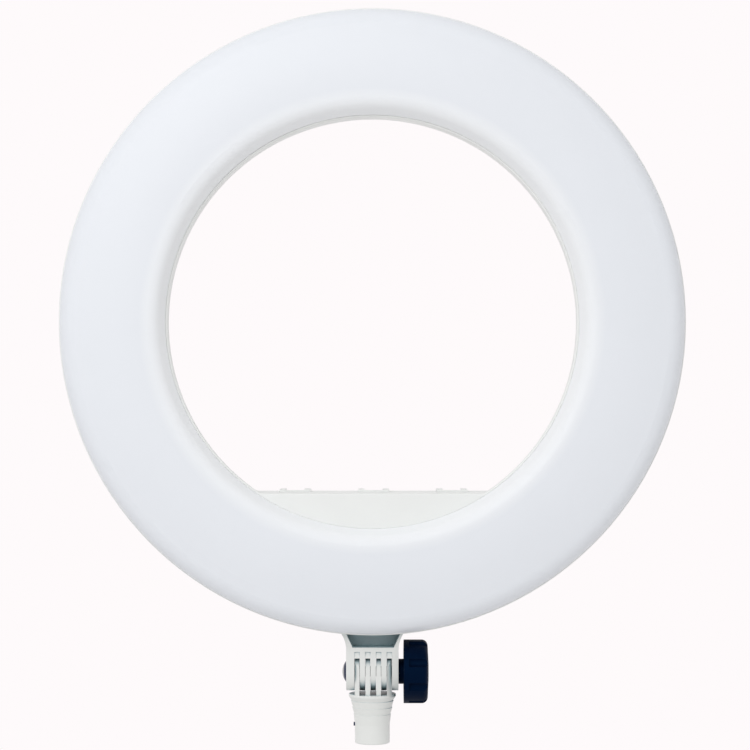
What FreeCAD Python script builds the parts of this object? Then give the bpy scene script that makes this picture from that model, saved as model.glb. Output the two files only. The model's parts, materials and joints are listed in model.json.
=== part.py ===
import FreeCAD, Part
import math
import os
import Sketcher

# A ring light on a tilting knuckle. Millimetres, +X to the right of someone who faces the light,
# +Y away from them, +Z up. The origin is the centre of the socket's mouth, where the stand goes in.

os.makedirs("parts", exist_ok=True)
doc = FreeCAD.newDocument("led_ring_light")

# Driving sizes: name, number, meaning

SIZES = [
    ("ring_radius", 240.0, "outer radius of the ring"),
    ("hole_radius", 156.8, "radius of the opening at the front rim"),
    ("hole_draft", 2.9, "growth of the opening's radius from rim to back"),
    ("rim_depth", 22.0, "front rim, ahead of the socket's axis"),
    ("back_depth", 24.0, "back face, behind the socket's axis"),
    ("outer_wall", 3.0, "outer wall of the two housings"),
    ("inner_wall", 3.6, "wall round the opening"),
    ("outer_lip", 1.2, "rim that shows outside the diffuser"),
    ("inner_lip", 1.5, "rim that shows inside the diffuser"),
    ("seat_drop", 6.5, "depth of the diffuser's seat below the rim"),
    ("deck_depth", 6.0, "front of the deck, ahead of the socket's axis"),
    ("deck_wall", 2.4, "thickness of the deck"),
    ("back_wall", 2.6, "thickness of the back"),
    ("back_round", 7.0, "rounding of the back's outer edge"),
    ("back_inner_round", 4.0, "rounding inside that edge"),
    ("hole_round", 2.0, "rounding of the opening's rear edge"),
    ("panel_height", 25.4, "accessory flat, above the lowest point of the opening"),
    ("rim_flat", 0.3, "flat left on the inner rim beside its rounding"),
    ("flat_corner", 6.0, "rounding where the flat meets the opening"),
    ("panel_wall", 2.6, "wall of the front panel"),
    ("flat_wall", 5.4, "wall under the accessory flat"),
    ("diffuser_wall", 2.0, "thickness of the diffuser"),
    ("diffuser_gap", 0.2, "clearance between diffuser and rims"),
    ("skirt_rise", 2.5, "straight part of the diffuser's inner side above the rim"),
    ("crest_width", 7.6, "end of the diffuser's inner slope, out from the opening"),
    ("crest_rise", 19.0, "height of that corner above the rim"),
    ("crest_round", 10.0, "rounding of that corner"),
    ("crown_shift", 3.0, "diffuser's highest line, in from the middle between its slopes"),
    ("crown_rise", 22.5, "height of that line above the rim before rounding"),
    ("crown_bulge", 3.5, "height of the crown's arc over the span between the slopes"),
    ("shoulder_width", 6.5, "start of the outer slope, in from the ring's edge"),
    ("shoulder_rise", 16.5, "height of that corner above the rim"),
    ("shoulder_round", 14.0, "rounding of that corner"),
    ("edge_rise", 5.5, "height at which the outer slope turns straight"),
    ("edge_round", 8.0, "rounding of that turn"),
    ("diffuser_boss_radius", 3.0, "radius of the diffuser's screw bosses"),
    ("diffuser_boss_inset", 7.5, "middles of those bosses, in from the ring's edge"),
    ("diffuser_boss_reach", 11.0, "height to which those bosses rise above the rim"),
    ("case_boss_radius", 4.0, "radius of the housing's screw tubes"),
    ("case_boss_inset", 9.0, "outer screw tubes, in from the ring's edge"),
    ("case_boss_offset", 5.9, "inner screw tubes, out from the wall round the opening"),
    ("case_head_depth", 6.0, "seat of the housing screws' heads behind the seam"),
    ("case_screw_bite", 5.0, "length of the housing screws ahead of the seam"),
    ("m3_radius", 1.5, "radius of the small screws"),
    ("m3_head_radius", 2.75, "radius of their heads"),
    ("m3_head_height", 2.0, "height of their heads"),
    ("m4_radius", 2.0, "radius of the bracket screws"),
    ("m4_head_radius", 3.8, "radius of their heads"),
    ("m4_head_height", 2.6, "height of their heads"),
    ("head_round", 1.2, "rounding of a screw head's edge"),
    ("screw_room", 0.5, "space past a screw's end in its hole"),
    ("diffuser_screw_bite", 7.5, "length of the diffuser's screws ahead of the deck"),
    ("recess_width", 0.9, "width of the cross in a screw head"),
    ("recess_depth", 1.1, "depth of the cross"),
    ("thread_gap", 0.02, "radial clearance of a screw in the hole that it holds in"),
    ("screw_gap", 0.25, "radial clearance of a screw in a plain hole"),
    ("vent_length", 22.0, "length of a cooling slot"),
    ("vent_width", 3.2, "width of a cooling slot"),
    ("vent_step", 2.3, "angle between neighbouring slots"),
    ("vent_group_step", 30.0, "angle between groups of slots"),
    ("board_inner_gap", 4.0, "space between the opening's wall and the light boards"),
    ("board_outer_gap", 1.0, "space between the light boards and the diffuser's bosses"),
    ("board_wall", 1.6, "thickness of a circuit board"),
    ("board_joint", 0.6, "half the angle left open between light boards"),
    ("board_screw_inset", 5.7, "light boards' screws, in from the boards' edges"),
    ("board_screw_angle", 18.0, "angle of those screws from a board's middle"),
    ("led_margin", 8.0, "outermost rows of light chips, in from the boards' edges"),
    ("led_length", 3.5, "length of a light chip"),
    ("led_width", 2.8, "width of a light chip"),
    ("led_height", 0.8, "height of a light chip"),
    ("led_lens", 1.1, "radius of the glowing face of a light chip"),
    ("led_well", 0.16, "depth of that face"),
    ("shoe_pitch", 61.0, "distance between accessory shoes"),
    ("shoe_shift", 0.9, "middle shoe, right of the ring's centre"),
    ("shoe_width", 24.4, "outer width of a shoe"),
    ("shoe_length", 21.0, "length of a shoe"),
    ("shoe_channel", 18.7, "width of the channel in a shoe"),
    ("shoe_mouth", 14.4, "width between a shoe's lips"),
    ("shoe_sunk", 1.3, "channel floor, below the flat"),
    ("shoe_proud", 1.8, "lips' top, above the flat"),
    ("shoe_lip", 1.05, "thickness of a lip"),
    ("shoe_floor", 1.5, "thickness of a shoe's floor"),
    ("shoe_stop", 2.0, "thickness of the wall at a shoe's closed end"),
    ("shoe_gap", 0.1, "clearance round a shoe in its pocket"),
    ("shoe_edge", 0.8, "rounding of a shoe's outer top edges"),
    ("shoe_stop_overlap", 0.5, "how far the closing wall runs into floor and sides"),
    ("shoe_screw_spread", 11.0, "distance between a shoe's two screws"),
    ("shoe_boss_wall", 1.6, "wall of the bosses under the shoes"),
    ("shoe_screw_gap", 0.05, "radial clearance of the shoe screws"),
    ("m2_radius", 1.25, "radius of the shoe screws"),
    ("m2_head_radius", 2.3, "radius of their countersunk heads"),
    ("m2_length", 6.0, "length of the shoe screws"),
    ("window_width", 46.0, "width of the display's window"),
    ("window_height", 26.0, "height of the display's window"),
    ("window_wall", 1.4, "thickness of the window"),
    ("window_ledge", 3.0, "ledge that the window rests on"),
    ("window_lift", 9.7, "window, above the middle between the flat and the ring's edge"),
    ("dial_spread", 46.0, "dials' axes, left and right of the centre"),
    ("dial_lower", 4.0, "dials' axes, below the window's middle"),
    ("dial_radius", 12.0, "radius of a dial"),
    ("dial_height", 12.0, "height of a dial"),
    ("dial_gap", 0.6, "space between a dial and the back"),
    ("dial_edge", 1.2, "chamfer of a dial's face"),
    ("dial_well_gap", 1.6, "space round the nut inside a dial"),
    ("dial_grooves", 20.0, "number of grip grooves round a dial"),
    ("dial_groove", 1.0, "radius of those grooves"),
    ("dial_groove_out", 0.45, "those grooves' middles, outside the dial's edge"),
    ("dial_groove_low", 1.5, "plain band under those grooves"),
    ("pointer_width", 1.2, "width of a dial's pointer line"),
    ("pointer_depth", 0.5, "depth of that line"),
    ("pointer_start", 4.2, "inner end of that line, from the dial's axis"),
    ("pointer_end", 10.2, "outer end of that line, from the dial's axis"),
    ("pot_radius", 8.0, "radius of a potentiometer's body"),
    ("pot_depth", 9.0, "depth of that body"),
    ("bushing_radius", 3.5, "radius of its threaded bushing"),
    ("bushing_length", 5.6, "length of that bushing"),
    ("pot_nut_half", 5.2, "half the width across the flats of the bushing's nut"),
    ("pot_nut_height", 2.0, "height of that nut"),
    ("pot_floor", 1.5, "thickness of the body's floor"),
    ("shaft_radius", 2.5, "radius of the turning shaft in its bushing"),
    ("shaft_end_radius", 3.0, "radius of the shaft where the dial sits"),
    ("shaft_length", 14.0, "length of the shaft outside the body"),
    ("shaft_gap", 0.05, "clearance of a turning shaft"),
    ("shaft_step_gap", 0.2, "space between the bushing's end and the dial's seat"),
    ("control_board_side", 12.0, "control board, beyond the dials' axes"),
    ("control_board_rise", 16.0, "top of the control board, above the window's middle"),
    ("control_board_gap", 11.0, "bottom of the control board, above the switch's middle"),
    ("control_post_inset", 3.8, "control board's posts, in from its edges"),
    ("control_chip_size", 12.0, "side of the control chip"),
    ("control_chip_height", 1.6, "height of the control chip"),
    ("control_chip_shift", 20.0, "control chip, left of the centre"),
    ("display_reach", 1.0, "display, beyond each side of the window's opening"),
    ("display_frame", 2.5, "width of the display's frame"),
    ("display_gap", 0.2, "space between the display and the back"),
    ("display_glass", 0.8, "height of the display's glass above its frame"),
    ("post_radius", 3.0, "radius of a circuit board's post"),
    ("pilot_floor", 1.0, "control posts' screw holes, on into the back"),
    ("switch_shift", 24.0, "power switch, right of the centre"),
    ("switch_inset", 24.0, "power switch and inlet, in from the ring's edge"),
    ("switch_width", 19.2, "width of the switch's body"),
    ("switch_height", 12.8, "height of the switch's body"),
    ("switch_depth", 15.0, "depth of the switch's body behind its frame"),
    ("switch_frame", 1.6, "thickness and overhang of the switch's frame"),
    ("switch_tab", 5.0, "length of the switch's solder tabs"),
    ("switch_tab_spread", 5.0, "those tabs, left and right of the switch's middle"),
    ("switch_tab_width", 4.8, "width of those tabs"),
    ("switch_tab_wall", 0.8, "thickness of those tabs"),
    ("switch_well", 6.5, "depth of the well that holds the rocker"),
    ("rocker_width", 14.6, "width of the rocker"),
    ("rocker_height", 9.4, "height of the rocker"),
    ("rocker_throw", 10.0, "tilt of the rocker from level to on or off"),
    ("rocker_gap", 0.5, "clearance round the rocker"),
    ("rocker_pin_drop", 1.2, "the rocker's axis, below the frame's face"),
    ("rocker_pin", 0.8, "radius of the two pins that the rocker turns on"),
    ("rocker_pin_reach", 0.7, "length of each pin inside the switch's wall"),
    ("rocker_pin_gap", 0.08, "clearance round those pins"),
    ("rocker_pin_end_gap", 0.2, "space between a pin's end and the end of its hole"),
    ("rocker_foot", 2.0, "underside of the rocker, below its axis"),
    ("rocker_taper", 0.9, "narrowing of the rocker's underside at each end"),
    ("rocker_proud", 2.4, "ends of the rocker, above the frame when level"),
    ("rocker_valley", 0.9, "middle of the rocker, above the frame when level"),
    ("inlet_shift", 24.0, "power inlet, left of the centre"),
    ("inlet_body_radius", 5.5, "radius of the power inlet's body"),
    ("inlet_flange_radius", 7.2, "radius of its flange"),
    ("inlet_flange", 1.8, "thickness of its flange"),
    ("inlet_depth", 13.0, "length of the inlet behind the flange"),
    ("inlet_bore", 2.8, "radius of the plug's hole"),
    ("inlet_bore_depth", 9.5, "depth of the plug's hole"),
    ("inlet_pin", 1.05, "radius of the centre pin"),
    ("inlet_pin_sunk", 1.2, "end of that pin, below the flange's face"),
    ("inlet_nut", 2.4, "height of the inlet's nut"),
    ("driver_turn", 52.0, "angle of the driver board round the ring from the bottom"),
    ("driver_half", 41.0, "half the width of the driver board"),
    ("driver_length", 38.0, "length of the driver board, away from the ring's axis"),
    ("driver_shift", 1.5, "driver board, from the middle between the walls to the ring's axis"),
    ("driver_post", 3.0, "height of the driver board's posts"),
    ("driver_post_inset", 4.0, "those posts, in from the board's edges"),
    ("capacitor_radius", 5.0, "radius of a capacitor"),
    ("capacitor_height", 13.0, "height of a capacitor"),
    ("capacitor_inset", 13.0, "first capacitor, in from the driver board's end"),
    ("capacitor_step", 11.5, "distance between capacitors"),
    ("capacitor_shift", 6.0, "capacitors, from the board's middle away from the ring's axis"),
    ("capacitor_groove", 0.7, "depth of the groove round a capacitor"),
    ("capacitor_groove_low", 1.6, "that groove, above the board"),
    ("capacitor_groove_width", 0.9, "width of that groove"),
    ("inductor_radius", 6.0, "radius of an inductor"),
    ("inductor_height", 7.5, "height of an inductor"),
    ("inductor_first", 7.0, "first inductor, from the board's middle"),
    ("inductor_step", 13.2, "distance between inductors"),
    ("inductor_shift", 8.0, "inductors, from the board's middle away from the ring's axis"),
    ("inductor_flange", 1.5, "thickness of an inductor's end plates"),
    ("inductor_winding", 5.0, "radius of its winding"),
    ("sink_length", 26.0, "length of the driver's heat sink"),
    ("sink_width", 13.0, "width of the heat sink"),
    ("sink_height", 12.0, "height of the heat sink"),
    ("sink_inset", 39.0, "heat sink, in from the driver board's end"),
    ("sink_shift", 11.0, "heat sink, from the board's middle towards the ring's axis"),
    ("sink_base", 2.0, "thickness of the heat sink's base"),
    ("sink_fin", 1.2, "thickness of a fin"),
    ("chip_height", 1.5, "height of the power chips under the heat sink"),
    ("chip_length", 6.4, "length of those chips"),
    ("chip_width", 10.0, "width of those chips"),
    ("chip_step", 8.0, "distance between those chips"),
    ("header_length", 10.0, "length of a wire header"),
    ("header_width", 5.6, "width of a wire header"),
    ("header_height", 6.5, "height of a wire header"),
    ("header_inset", 10.5, "middle of the driver's headers, in from the board's end"),
    ("header_wall", 0.8, "wall of a wire header"),
    ("header_gap", 2.0, "space between neighbouring headers"),
    ("header_floor", 1.2, "floor of a wire header"),
    ("control_header_rise", 15.0, "control board's header, above the board's bottom"),
    ("lead_radius", 0.8, "radius of an internal wire"),
    ("lead_gap", 2.3, "distance between neighbouring wires"),
    ("lead_rise", 3.0, "wires, above the driver's headers"),
    ("light_lead_bend", 3.0, "bends of the wires to the light boards"),
    ("control_lead_bend", 2.0, "bends of the wires to the control board"),
    ("power_lead_bend", 1.6, "bends of the supply wires"),
    ("lead_hole", 5.5, "radius of the hole that wires pass through the deck"),
    ("lead_hole_offset", 27.9, "that hole, out from the wall round the opening"),
    ("lead_hole_angle", 245.0, "angle of that hole from the right-hand side"),
    ("jumper_radius", 0.4, "radius of a jumper between light boards"),
    ("jumper_reach", 4.0, "half the span of a jumper"),
    ("jumper_rise", 1.6, "height of a jumper"),
    ("jumper_bend", 0.8, "bends of a jumper"),
    ("pivot_reach", 30.2, "tilt axis, below the ring's edge"),
    ("finger_radius", 14.6, "radius of the knuckle's fingers"),
    ("finger_step", 8.27, "distance between neighbouring fingers"),
    ("finger_shift", 0.7, "middle of the knuckle's slots, right of the centre"),
    ("slot_width", 4.1, "width of a slot in the bracket"),
    ("finger_gap", 0.25, "space on each side of a finger in its slot"),
    ("finger_root", 1.0, "depth of the fingers' roots in the shoulder"),
    ("slot_gap", 1.1, "space between a slot's rounded end and the finger"),
    ("slot_top", 11.6, "closed end of a slot at its face, above the tilt axis"),
    ("slot_face_rise", 5.0, "height of the sloping face above a slot"),
    ("slot_face_step", 1.3, "depth of that face at its top"),
    ("yoke_half", 20.15, "half the width of the bracket at the knuckle"),
    ("yoke_flare", 27.4, "half the width of the bracket at the ring"),
    ("yoke_flare_drop", 11.2, "start of the flare, below the ring's edge"),
    ("yoke_flare_round", 24.0, "radius of the flare"),
    ("saddle_gap", 0.15, "space between the bracket's saddle and the ring"),
    ("saddle_rise", 4.85, "bracket's top corners, above the ring's lowest point"),
    ("pocket_depth", 18.0, "depth of the bracket's front pocket"),
    ("pocket_drop", 10.2, "floor of that pocket, below the ring's edge"),
    ("pocket_floor_half", 15.9, "half the width of the pocket's floor"),
    ("pocket_top_half", 20.6, "half the width of the pocket at the ring"),
    ("bridge_height", 9.0, "top of the ring's inner mounting block, in from the ring's edge"),
    ("bridge_half", 27.0, "half the width of that block"),
    ("bridge_depth", 16.0, "depth of that block"),
    ("plate_wall", 2.0, "thickness of the steel mounting plate"),
    ("plate_half", 25.0, "half the width of the plate"),
    ("plate_inset", 0.5, "front of the plate, behind the seam"),
    ("plate_margin", 1.0, "back of the plate, short of the block's back"),
    ("yoke_screw_step", 12.4, "distance between the bracket's screws"),
    ("yoke_screw_depth", 7.5, "those screws, behind the socket's axis"),
    ("yoke_screw_length", 20.0, "length of those screws"),
    ("bolt_radius", 4.0, "radius of the tilt bolt"),
    ("bolt_gap", 0.1, "radial clearance of the tilt bolt in the fingers"),
    ("bolt_head_radius", 8.25, "radius of the bolt's domed head"),
    ("bolt_head_height", 3.1, "height of that head"),
    ("bolt_neck_length", 4.4, "length of that neck"),
    ("bolt_past_nut", 5.65, "end of the bolt, beyond the knob's nut"),
    ("bolt_point", 1.0, "chamfer of the bolt's end"),
    ("bolt_room", 1.5, "space ahead of the bolt's end in the knob"),
    ("washer_radius", 8.0, "radius of the washer"),
    ("washer_wall", 1.6, "thickness of the washer"),
    ("washer_sunk", 1.4, "depth of the washer's seat in the bracket"),
    ("knob_hub_radius", 9.65, "radius of the knob's hub"),
    ("knob_hub_length", 3.9, "length of the hub"),
    ("knob_radius", 24.5, "radius of the knob"),
    ("knob_flange", 3.9, "thickness of the knob's round flange"),
    ("knob_length", 19.2, "length of the knob beyond its hub"),
    ("knob_round", 4.6, "rounding of the knob's outer edge"),
    ("knob_crown", 0.9, "bulge of the knob's outer face"),
    ("knob_flat", 8.0, "radius of the flat middle of that face"),
    ("knob_lobes", 8.0, "number of lobes"),
    ("knob_groove", 3.6, "radius of the grooves between lobes"),
    ("knob_groove_depth", 2.4, "depth of those grooves"),
    ("nut_half", 6.5, "half the width across the flats of the knob's nut"),
    ("nut_length", 8.0, "length of the knob's nut"),
    ("nut_gap", 0.05, "clearance between nut and knob"),
    ("nut_inset", 2.0, "knob's nut, from the hub's end"),
    ("socket_bore", 8.1, "radius of the socket's bore"),
    ("socket_bore_depth", 34.0, "depth of the bore"),
    ("socket_radius", 13.5, "outer radius of the socket's lower part"),
    ("socket_floor", 4.2, "solid part above the bore, up to the shoulder"),
    ("socket_edge", 1.0, "rounding of the mouth's outer edge"),
    ("socket_straight", 14.6, "height of the socket's straight part"),
    ("ledge_drop", 5.5, "highest ledge, below the socket's shoulder"),
    ("ledge_step", 5.2, "distance between ledges"),
    ("ledge_growth", 1.0, "growth of the radius from ledge to ledge"),
    ("ledge_size", 0.45, "depth of a ledge"),
    ("ledge_slope", 0.3, "height of a ledge's step"),
    ("shoulder_top_radius", 18.2, "radius of the socket's shoulder"),
    ("shoulder_drop", 17.0, "socket's shoulder, below the tilt axis"),
    ("shoulder_height", 1.8, "straight part of the shoulder"),
    ("shoulder_edge", 0.6, "rounding of the shoulder's top edge"),
    ("lock_height", 14.6, "lock screw, above the socket's mouth"),
    ("lock_radius", 1.5, "radius of the lock screw"),
    ("lock_tip_gap", 0.15, "end of the lock screw, short of the bore"),
    ("lock_proud", 1.0, "how far the lock screw stands out of the socket"),
    ("lock_socket", 0.85, "half the width across the hexagon in the lock screw"),
    ("insert_radius", 2.4, "radius of the brass insert"),
    ("insert_sunk", 0.6, "insert's ends, below the socket's inner and outer wall"),
]


class Size:
    """A number that keeps the sheet formula it comes from."""

    def __init__(self, value, formula):
        self.value = float(value)
        self.formula = formula

    def __add__(self, other):
        return Size(self.value + number(other), f"({self.formula} + {formula(other)})")

    def __radd__(self, other):
        return Size(number(other) + self.value, f"({formula(other)} + {self.formula})")

    def __sub__(self, other):
        return Size(self.value - number(other), f"({self.formula} - {formula(other)})")

    def __rsub__(self, other):
        return Size(number(other) - self.value, f"({formula(other)} - {self.formula})")

    def __mul__(self, other):
        return Size(self.value * number(other), f"({self.formula} * {formula(other)})")

    def __rmul__(self, other):
        return Size(number(other) * self.value, f"({formula(other)} * {self.formula})")

    def __truediv__(self, other):
        return Size(self.value / number(other), f"({self.formula} / {formula(other)})")

    def __neg__(self):
        return Size(-self.value, f"(0 - {self.formula})")


def number(value):
    return value.value if isinstance(value, Size) else float(value)


def formula(value):
    return value.formula if isinstance(value, Size) else repr(float(value))


def root(value):
    return Size(math.sqrt(number(value)), f"sqrt({formula(value)})")


def cosine(angle):
    return Size(math.cos(math.radians(number(angle))), f"cos({formula(angle)})")


def sine(angle):
    return Size(math.sin(math.radians(number(angle))), f"sin({formula(angle)})")


class Sheet:
    """The spreadsheet of driving sizes, read by name."""

    def __init__(self, rows):
        self.sheet = doc.addObject("Spreadsheet::Sheet", "Sizes")
        self.numbers = {}
        for line, (name, value, meaning) in enumerate(rows, start=1):
            self.sheet.set(f"A{line}", name)
            self.sheet.set(f"B{line}", str(value))
            self.sheet.set(f"C{line}", meaning)
            self.sheet.setAlias(f"B{line}", name)
            self.numbers[name] = value

    def __getattr__(self, name):
        return Size(self.numbers[name], f"Sizes.{name}")


dim = Sheet(SIZES)
doc.recompute()

# Sketch outlines


class Corner:
    """A corner of an outline; it may be rounded, or be reached along an arc."""

    def __init__(self, u, v, rounding=None, bend=None):
        self.u = u
        self.v = v
        self.rounding = rounding
        self.bend = bend

    def vector(self):
        return FreeCAD.Vector(number(self.u), number(self.v), 0)


def at(u, v):
    return Corner(u, v)


def rounded(u, v, radius):
    return Corner(u, v, rounding=radius)


def arc_to(u, v, radius):
    """A corner reached along an arc: counter-clockwise for a positive radius."""
    return Corner(u, v, bend=radius)


def circle(u, v, radius):
    return ("circle", u, v, radius)


def rectangle(u_low, v_low, u_high, v_high):
    return [at(u_low, v_low), at(u_high, v_low), at(u_high, v_high), at(u_low, v_high)]


def hexagon(u, v, half_flats):
    reach = half_flats * (2 / math.sqrt(3))
    return [
        at(u + reach * cosine(60 * step), v + reach * sine(60 * step))
        for step in range(6)
    ]


def cross(width, length):
    """The cross in a screw head, centred on the origin."""
    near = width / 2
    return [
        at(near, near), at(near, length), at(-near, length), at(-near, near),
        at(-length, near), at(-length, -near), at(-near, -near), at(-near, -length),
        at(near, -length), at(near, -near), at(length, -near), at(length, near),
    ]


def constrain(sketch, kind, *arguments):
    *places, value = arguments
    index = sketch.addConstraint(Sketcher.Constraint(kind, *places, number(value)))
    if isinstance(value, Size):
        sketch.setExpression(f"Constraints[{index}]", value.formula)


def locate(sketch, geometry, point, u, v):
    constrain(sketch, "DistanceX", -1, 1, geometry, point, u)
    constrain(sketch, "DistanceY", -1, 1, geometry, point, v)


def add_arc(sketch, start, end, radius):
    """Adds an arc under a half circle and gives its index and its start and end points."""
    half = (end - start) / 2
    left = FreeCAD.Vector(-half.y, half.x, 0)
    left.normalize()
    away = math.sqrt(max(radius * radius - half.Length ** 2, 0))
    centre = start + half + left * away * (1 if radius > 0 else -1)
    first, last = (start, end) if radius > 0 else (end, start)
    low = math.atan2(first.y - centre.y, first.x - centre.x)
    high = math.atan2(last.y - centre.y, last.x - centre.x)
    if high < low:
        high += 2 * math.pi
    whole = Part.Circle(centre, FreeCAD.Vector(0, 0, 1), abs(radius))
    index = sketch.addGeometry(Part.ArcOfCircle(whole, low, high), False)
    return (index, 1, 2) if radius > 0 else (index, 2, 1)


def rounding_ends(before, here, after, radius):
    """Tangent points of a rounding, and the side on which it turns."""
    back = (before - here).normalize()
    ahead = (after - here).normalize()
    reach = radius / math.tan(back.getAngle(ahead) / 2)
    turn = back.cross(ahead).z
    return here + back * reach, here + ahead * reach, (-1 if turn > 0 else 1)


def add_outline(sketch, corners):
    count = len(corners)
    points = [corner.vector() for corner in corners]
    arrive = list(points)
    leave = list(points)
    sides = [0] * count
    for i, corner in enumerate(corners):
        if corner.rounding is not None:
            arrive[i], leave[i], sides[i] = rounding_ends(
                points[i - 1], points[i], points[(i + 1) % count], number(corner.rounding)
            )
    edges = []
    for i in range(count):
        following = (i + 1) % count
        bend = corners[following].bend
        if bend is None:
            line = Part.LineSegment(leave[i], arrive[following])
            edges.append((sketch.addGeometry(line, False), 1, 2))
        else:
            edges.append(add_arc(sketch, leave[i], arrive[following], number(bend)))
            size = bend if number(bend) > 0 else -bend
            constrain(sketch, "Radius", edges[-1][0], size)
    for i, corner in enumerate(corners):
        before, _, before_end = edges[i - 1]
        after, after_start, _ = edges[i]
        if corner.rounding is None:
            sketch.addConstraint(
                Sketcher.Constraint("Coincident", before, before_end, after, after_start)
            )
            locate(sketch, after, after_start, corner.u, corner.v)
            continue
        radius = number(corner.rounding) * sides[i]
        bow, bow_start, bow_end = add_arc(sketch, arrive[i], leave[i], radius)
        sketch.addConstraint(
            [
                Sketcher.Constraint("Tangent", before, before_end, bow, bow_start),
                Sketcher.Constraint("Tangent", bow, bow_end, after, after_start),
            ]
        )
        constrain(sketch, "Radius", bow, corner.rounding)
        apex = sketch.addGeometry(Part.Point(points[i]), True)
        locate(sketch, apex, 1, corner.u, corner.v)
        sketch.addConstraint(
            [
                Sketcher.Constraint("PointOnObject", apex, 1, before),
                Sketcher.Constraint("PointOnObject", apex, 1, after),
            ]
        )


def add_circle(sketch, u, v, radius):
    centre = FreeCAD.Vector(number(u), number(v), 0)
    whole = Part.Circle(centre, FreeCAD.Vector(0, 0, 1), number(radius))
    index = sketch.addGeometry(whole, False)
    locate(sketch, index, 3, u, v)
    constrain(sketch, "Radius", index, radius)


# Bodies and their features. A plane's normal points along +Z, -Y or +X.

NORMAL_SIGN = {"XY": 1, "XZ": -1, "YZ": 1}
NODES = []


def origin_item(body, role):
    return next(item for item in body.Origin.OriginFeatures if item.Role == role)


def place_body(body, height, turn):
    """Lifts a body to its frame and turns it about the ring's axis."""
    axis = FreeCAD.Vector(0, 1, 0)
    body.Placement = FreeCAD.Placement(
        FreeCAD.Vector(0, 0, number(height)), FreeCAD.Rotation(axis, number(turn))
    )
    if isinstance(height, Size):
        body.setExpression("Placement.Base.z", height.formula)


def new_body(label, height=0, turn=0, kept=True):
    body = doc.addObject("PartDesign::Body", label)
    body.Label = label
    body.AllowCompound = True
    place_body(body, height, turn)
    if kept:
        NODES.append(body)
    return body


def new_sketch(body, name, plane, level, loops):
    sketch = body.newObject("Sketcher::SketchObject", f"{body.Name}_{name}")
    sketch.AttachmentSupport = [(origin_item(body, f"{plane}_Plane"), "")]
    sketch.MapMode = "FlatFace"
    offset = level if NORMAL_SIGN[plane] > 0 else -level
    place = FreeCAD.Vector(0, 0, number(offset))
    sketch.AttachmentOffset = FreeCAD.Placement(place, FreeCAD.Rotation())
    if isinstance(offset, Size):
        sketch.setExpression("AttachmentOffset.Base.z", offset.formula)
    for loop in loops:
        if isinstance(loop, tuple):
            add_circle(sketch, *loop[1:])
        else:
            add_outline(sketch, loop)
    return sketch


def settle(feature):
    """Recomputes and stops at a feature that failed."""
    doc.recompute()
    if any(word in feature.State for word in ("Invalid", "Error")):
        raise RuntimeError(f"{feature.Name} failed")
    return feature


def extrude(kind, body, name, plane, start, end, loops):
    sketch = new_sketch(body, name, plane, start, loops)
    feature = body.newObject(f"PartDesign::{kind}", f"{body.Name}_{name}_{kind}")
    feature.Profile = sketch
    length = end - start
    forward = number(length) * NORMAL_SIGN[plane] > 0
    length = length if number(length) > 0 else -length
    feature.Length = number(length)
    if isinstance(length, Size):
        feature.setExpression("Length", length.formula)
    feature.Reversed = not forward if kind == "Pad" else forward
    return settle(feature)


def volume(body):
    return body.Shape.Volume


def pad(body, name, plane, start, end, loops):
    before = volume(body) if body.Tip else 0
    feature = extrude("Pad", body, name, plane, start, end, loops)
    if volume(body) <= before:
        raise RuntimeError(f"{feature.Name} adds nothing")
    return feature


def pocket(body, name, plane, start, end, loops):
    before = volume(body)
    feature = extrude("Pocket", body, name, plane, start, end, loops)
    if volume(body) >= before:
        raise RuntimeError(f"{feature.Name} cuts nothing")
    return feature


def spin(kind, body, name, plane, axis, loops):
    sketch = new_sketch(body, name, plane, 0, loops)
    feature = body.newObject(f"PartDesign::{kind}", f"{body.Name}_{name}_{kind}")
    feature.Profile = sketch
    feature.ReferenceAxis = (origin_item(body, f"{axis}_Axis"), [""])
    feature.Angle = 360
    return settle(feature)


def revolve(body, name, plane, axis, loops):
    return spin("Revolution", body, name, plane, axis, loops)


def dress(kind, body, name, size_name, radius, chosen):
    """A fillet or chamfer on the edges of the body's last feature that pass a test."""
    base = body.Tip
    edges = [f"Edge{i}" for i, edge in enumerate(base.Shape.Edges, start=1) if chosen(edge)]
    if not edges:
        raise RuntimeError(f"{body.Name} has no edge for {name}")
    feature = body.newObject(f"PartDesign::{kind}", f"{body.Name}_{name}")
    feature.Base = (base, edges)
    setattr(feature, size_name, number(radius))
    if isinstance(radius, Size):
        feature.setExpression(size_name, radius.formula)
    return settle(feature)


def fillet(body, name, radius, chosen):
    return dress("Fillet", body, name, "Radius", radius, chosen)


def chamfer(body, name, width, chosen):
    return dress("Chamfer", body, name, "Size", width, chosen)


def polar_copies(body, name, feature, axis, angle, count):
    pattern = body.newObject("PartDesign::PolarPattern", f"{body.Name}_{name}")
    pattern.Originals = [feature]
    pattern.Axis = (origin_item(body, f"{axis}_Axis"), [""])
    pattern.Angle = number(angle)
    pattern.Occurrences = count
    if isinstance(angle, Size):
        pattern.setExpression("Angle", angle.formula)
    body.Tip = pattern
    return settle(pattern)


def on_circle(edge, radius, depth):
    """Whether an edge is a circle about the ring's axis with this radius and depth."""
    curve = edge.Curve
    if not hasattr(curve, "Radius"):
        return False
    near = abs(curve.Radius - number(radius)) < TOUCH
    return near and abs(curve.Center.y - number(depth)) < TOUCH


def middle(edge):
    return edge.valueAt((edge.FirstParameter + edge.LastParameter) / 2)


# How near two places count as the same, and how far a cut runs outside its piece
TOUCH = 0.01
PAST = 1.0
shoulder_level = dim.socket_bore_depth + dim.socket_floor
PIVOT = shoulder_level + dim.shoulder_drop
pivot_drop = dim.ring_radius + dim.pivot_reach
RING = PIVOT + pivot_drop


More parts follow.
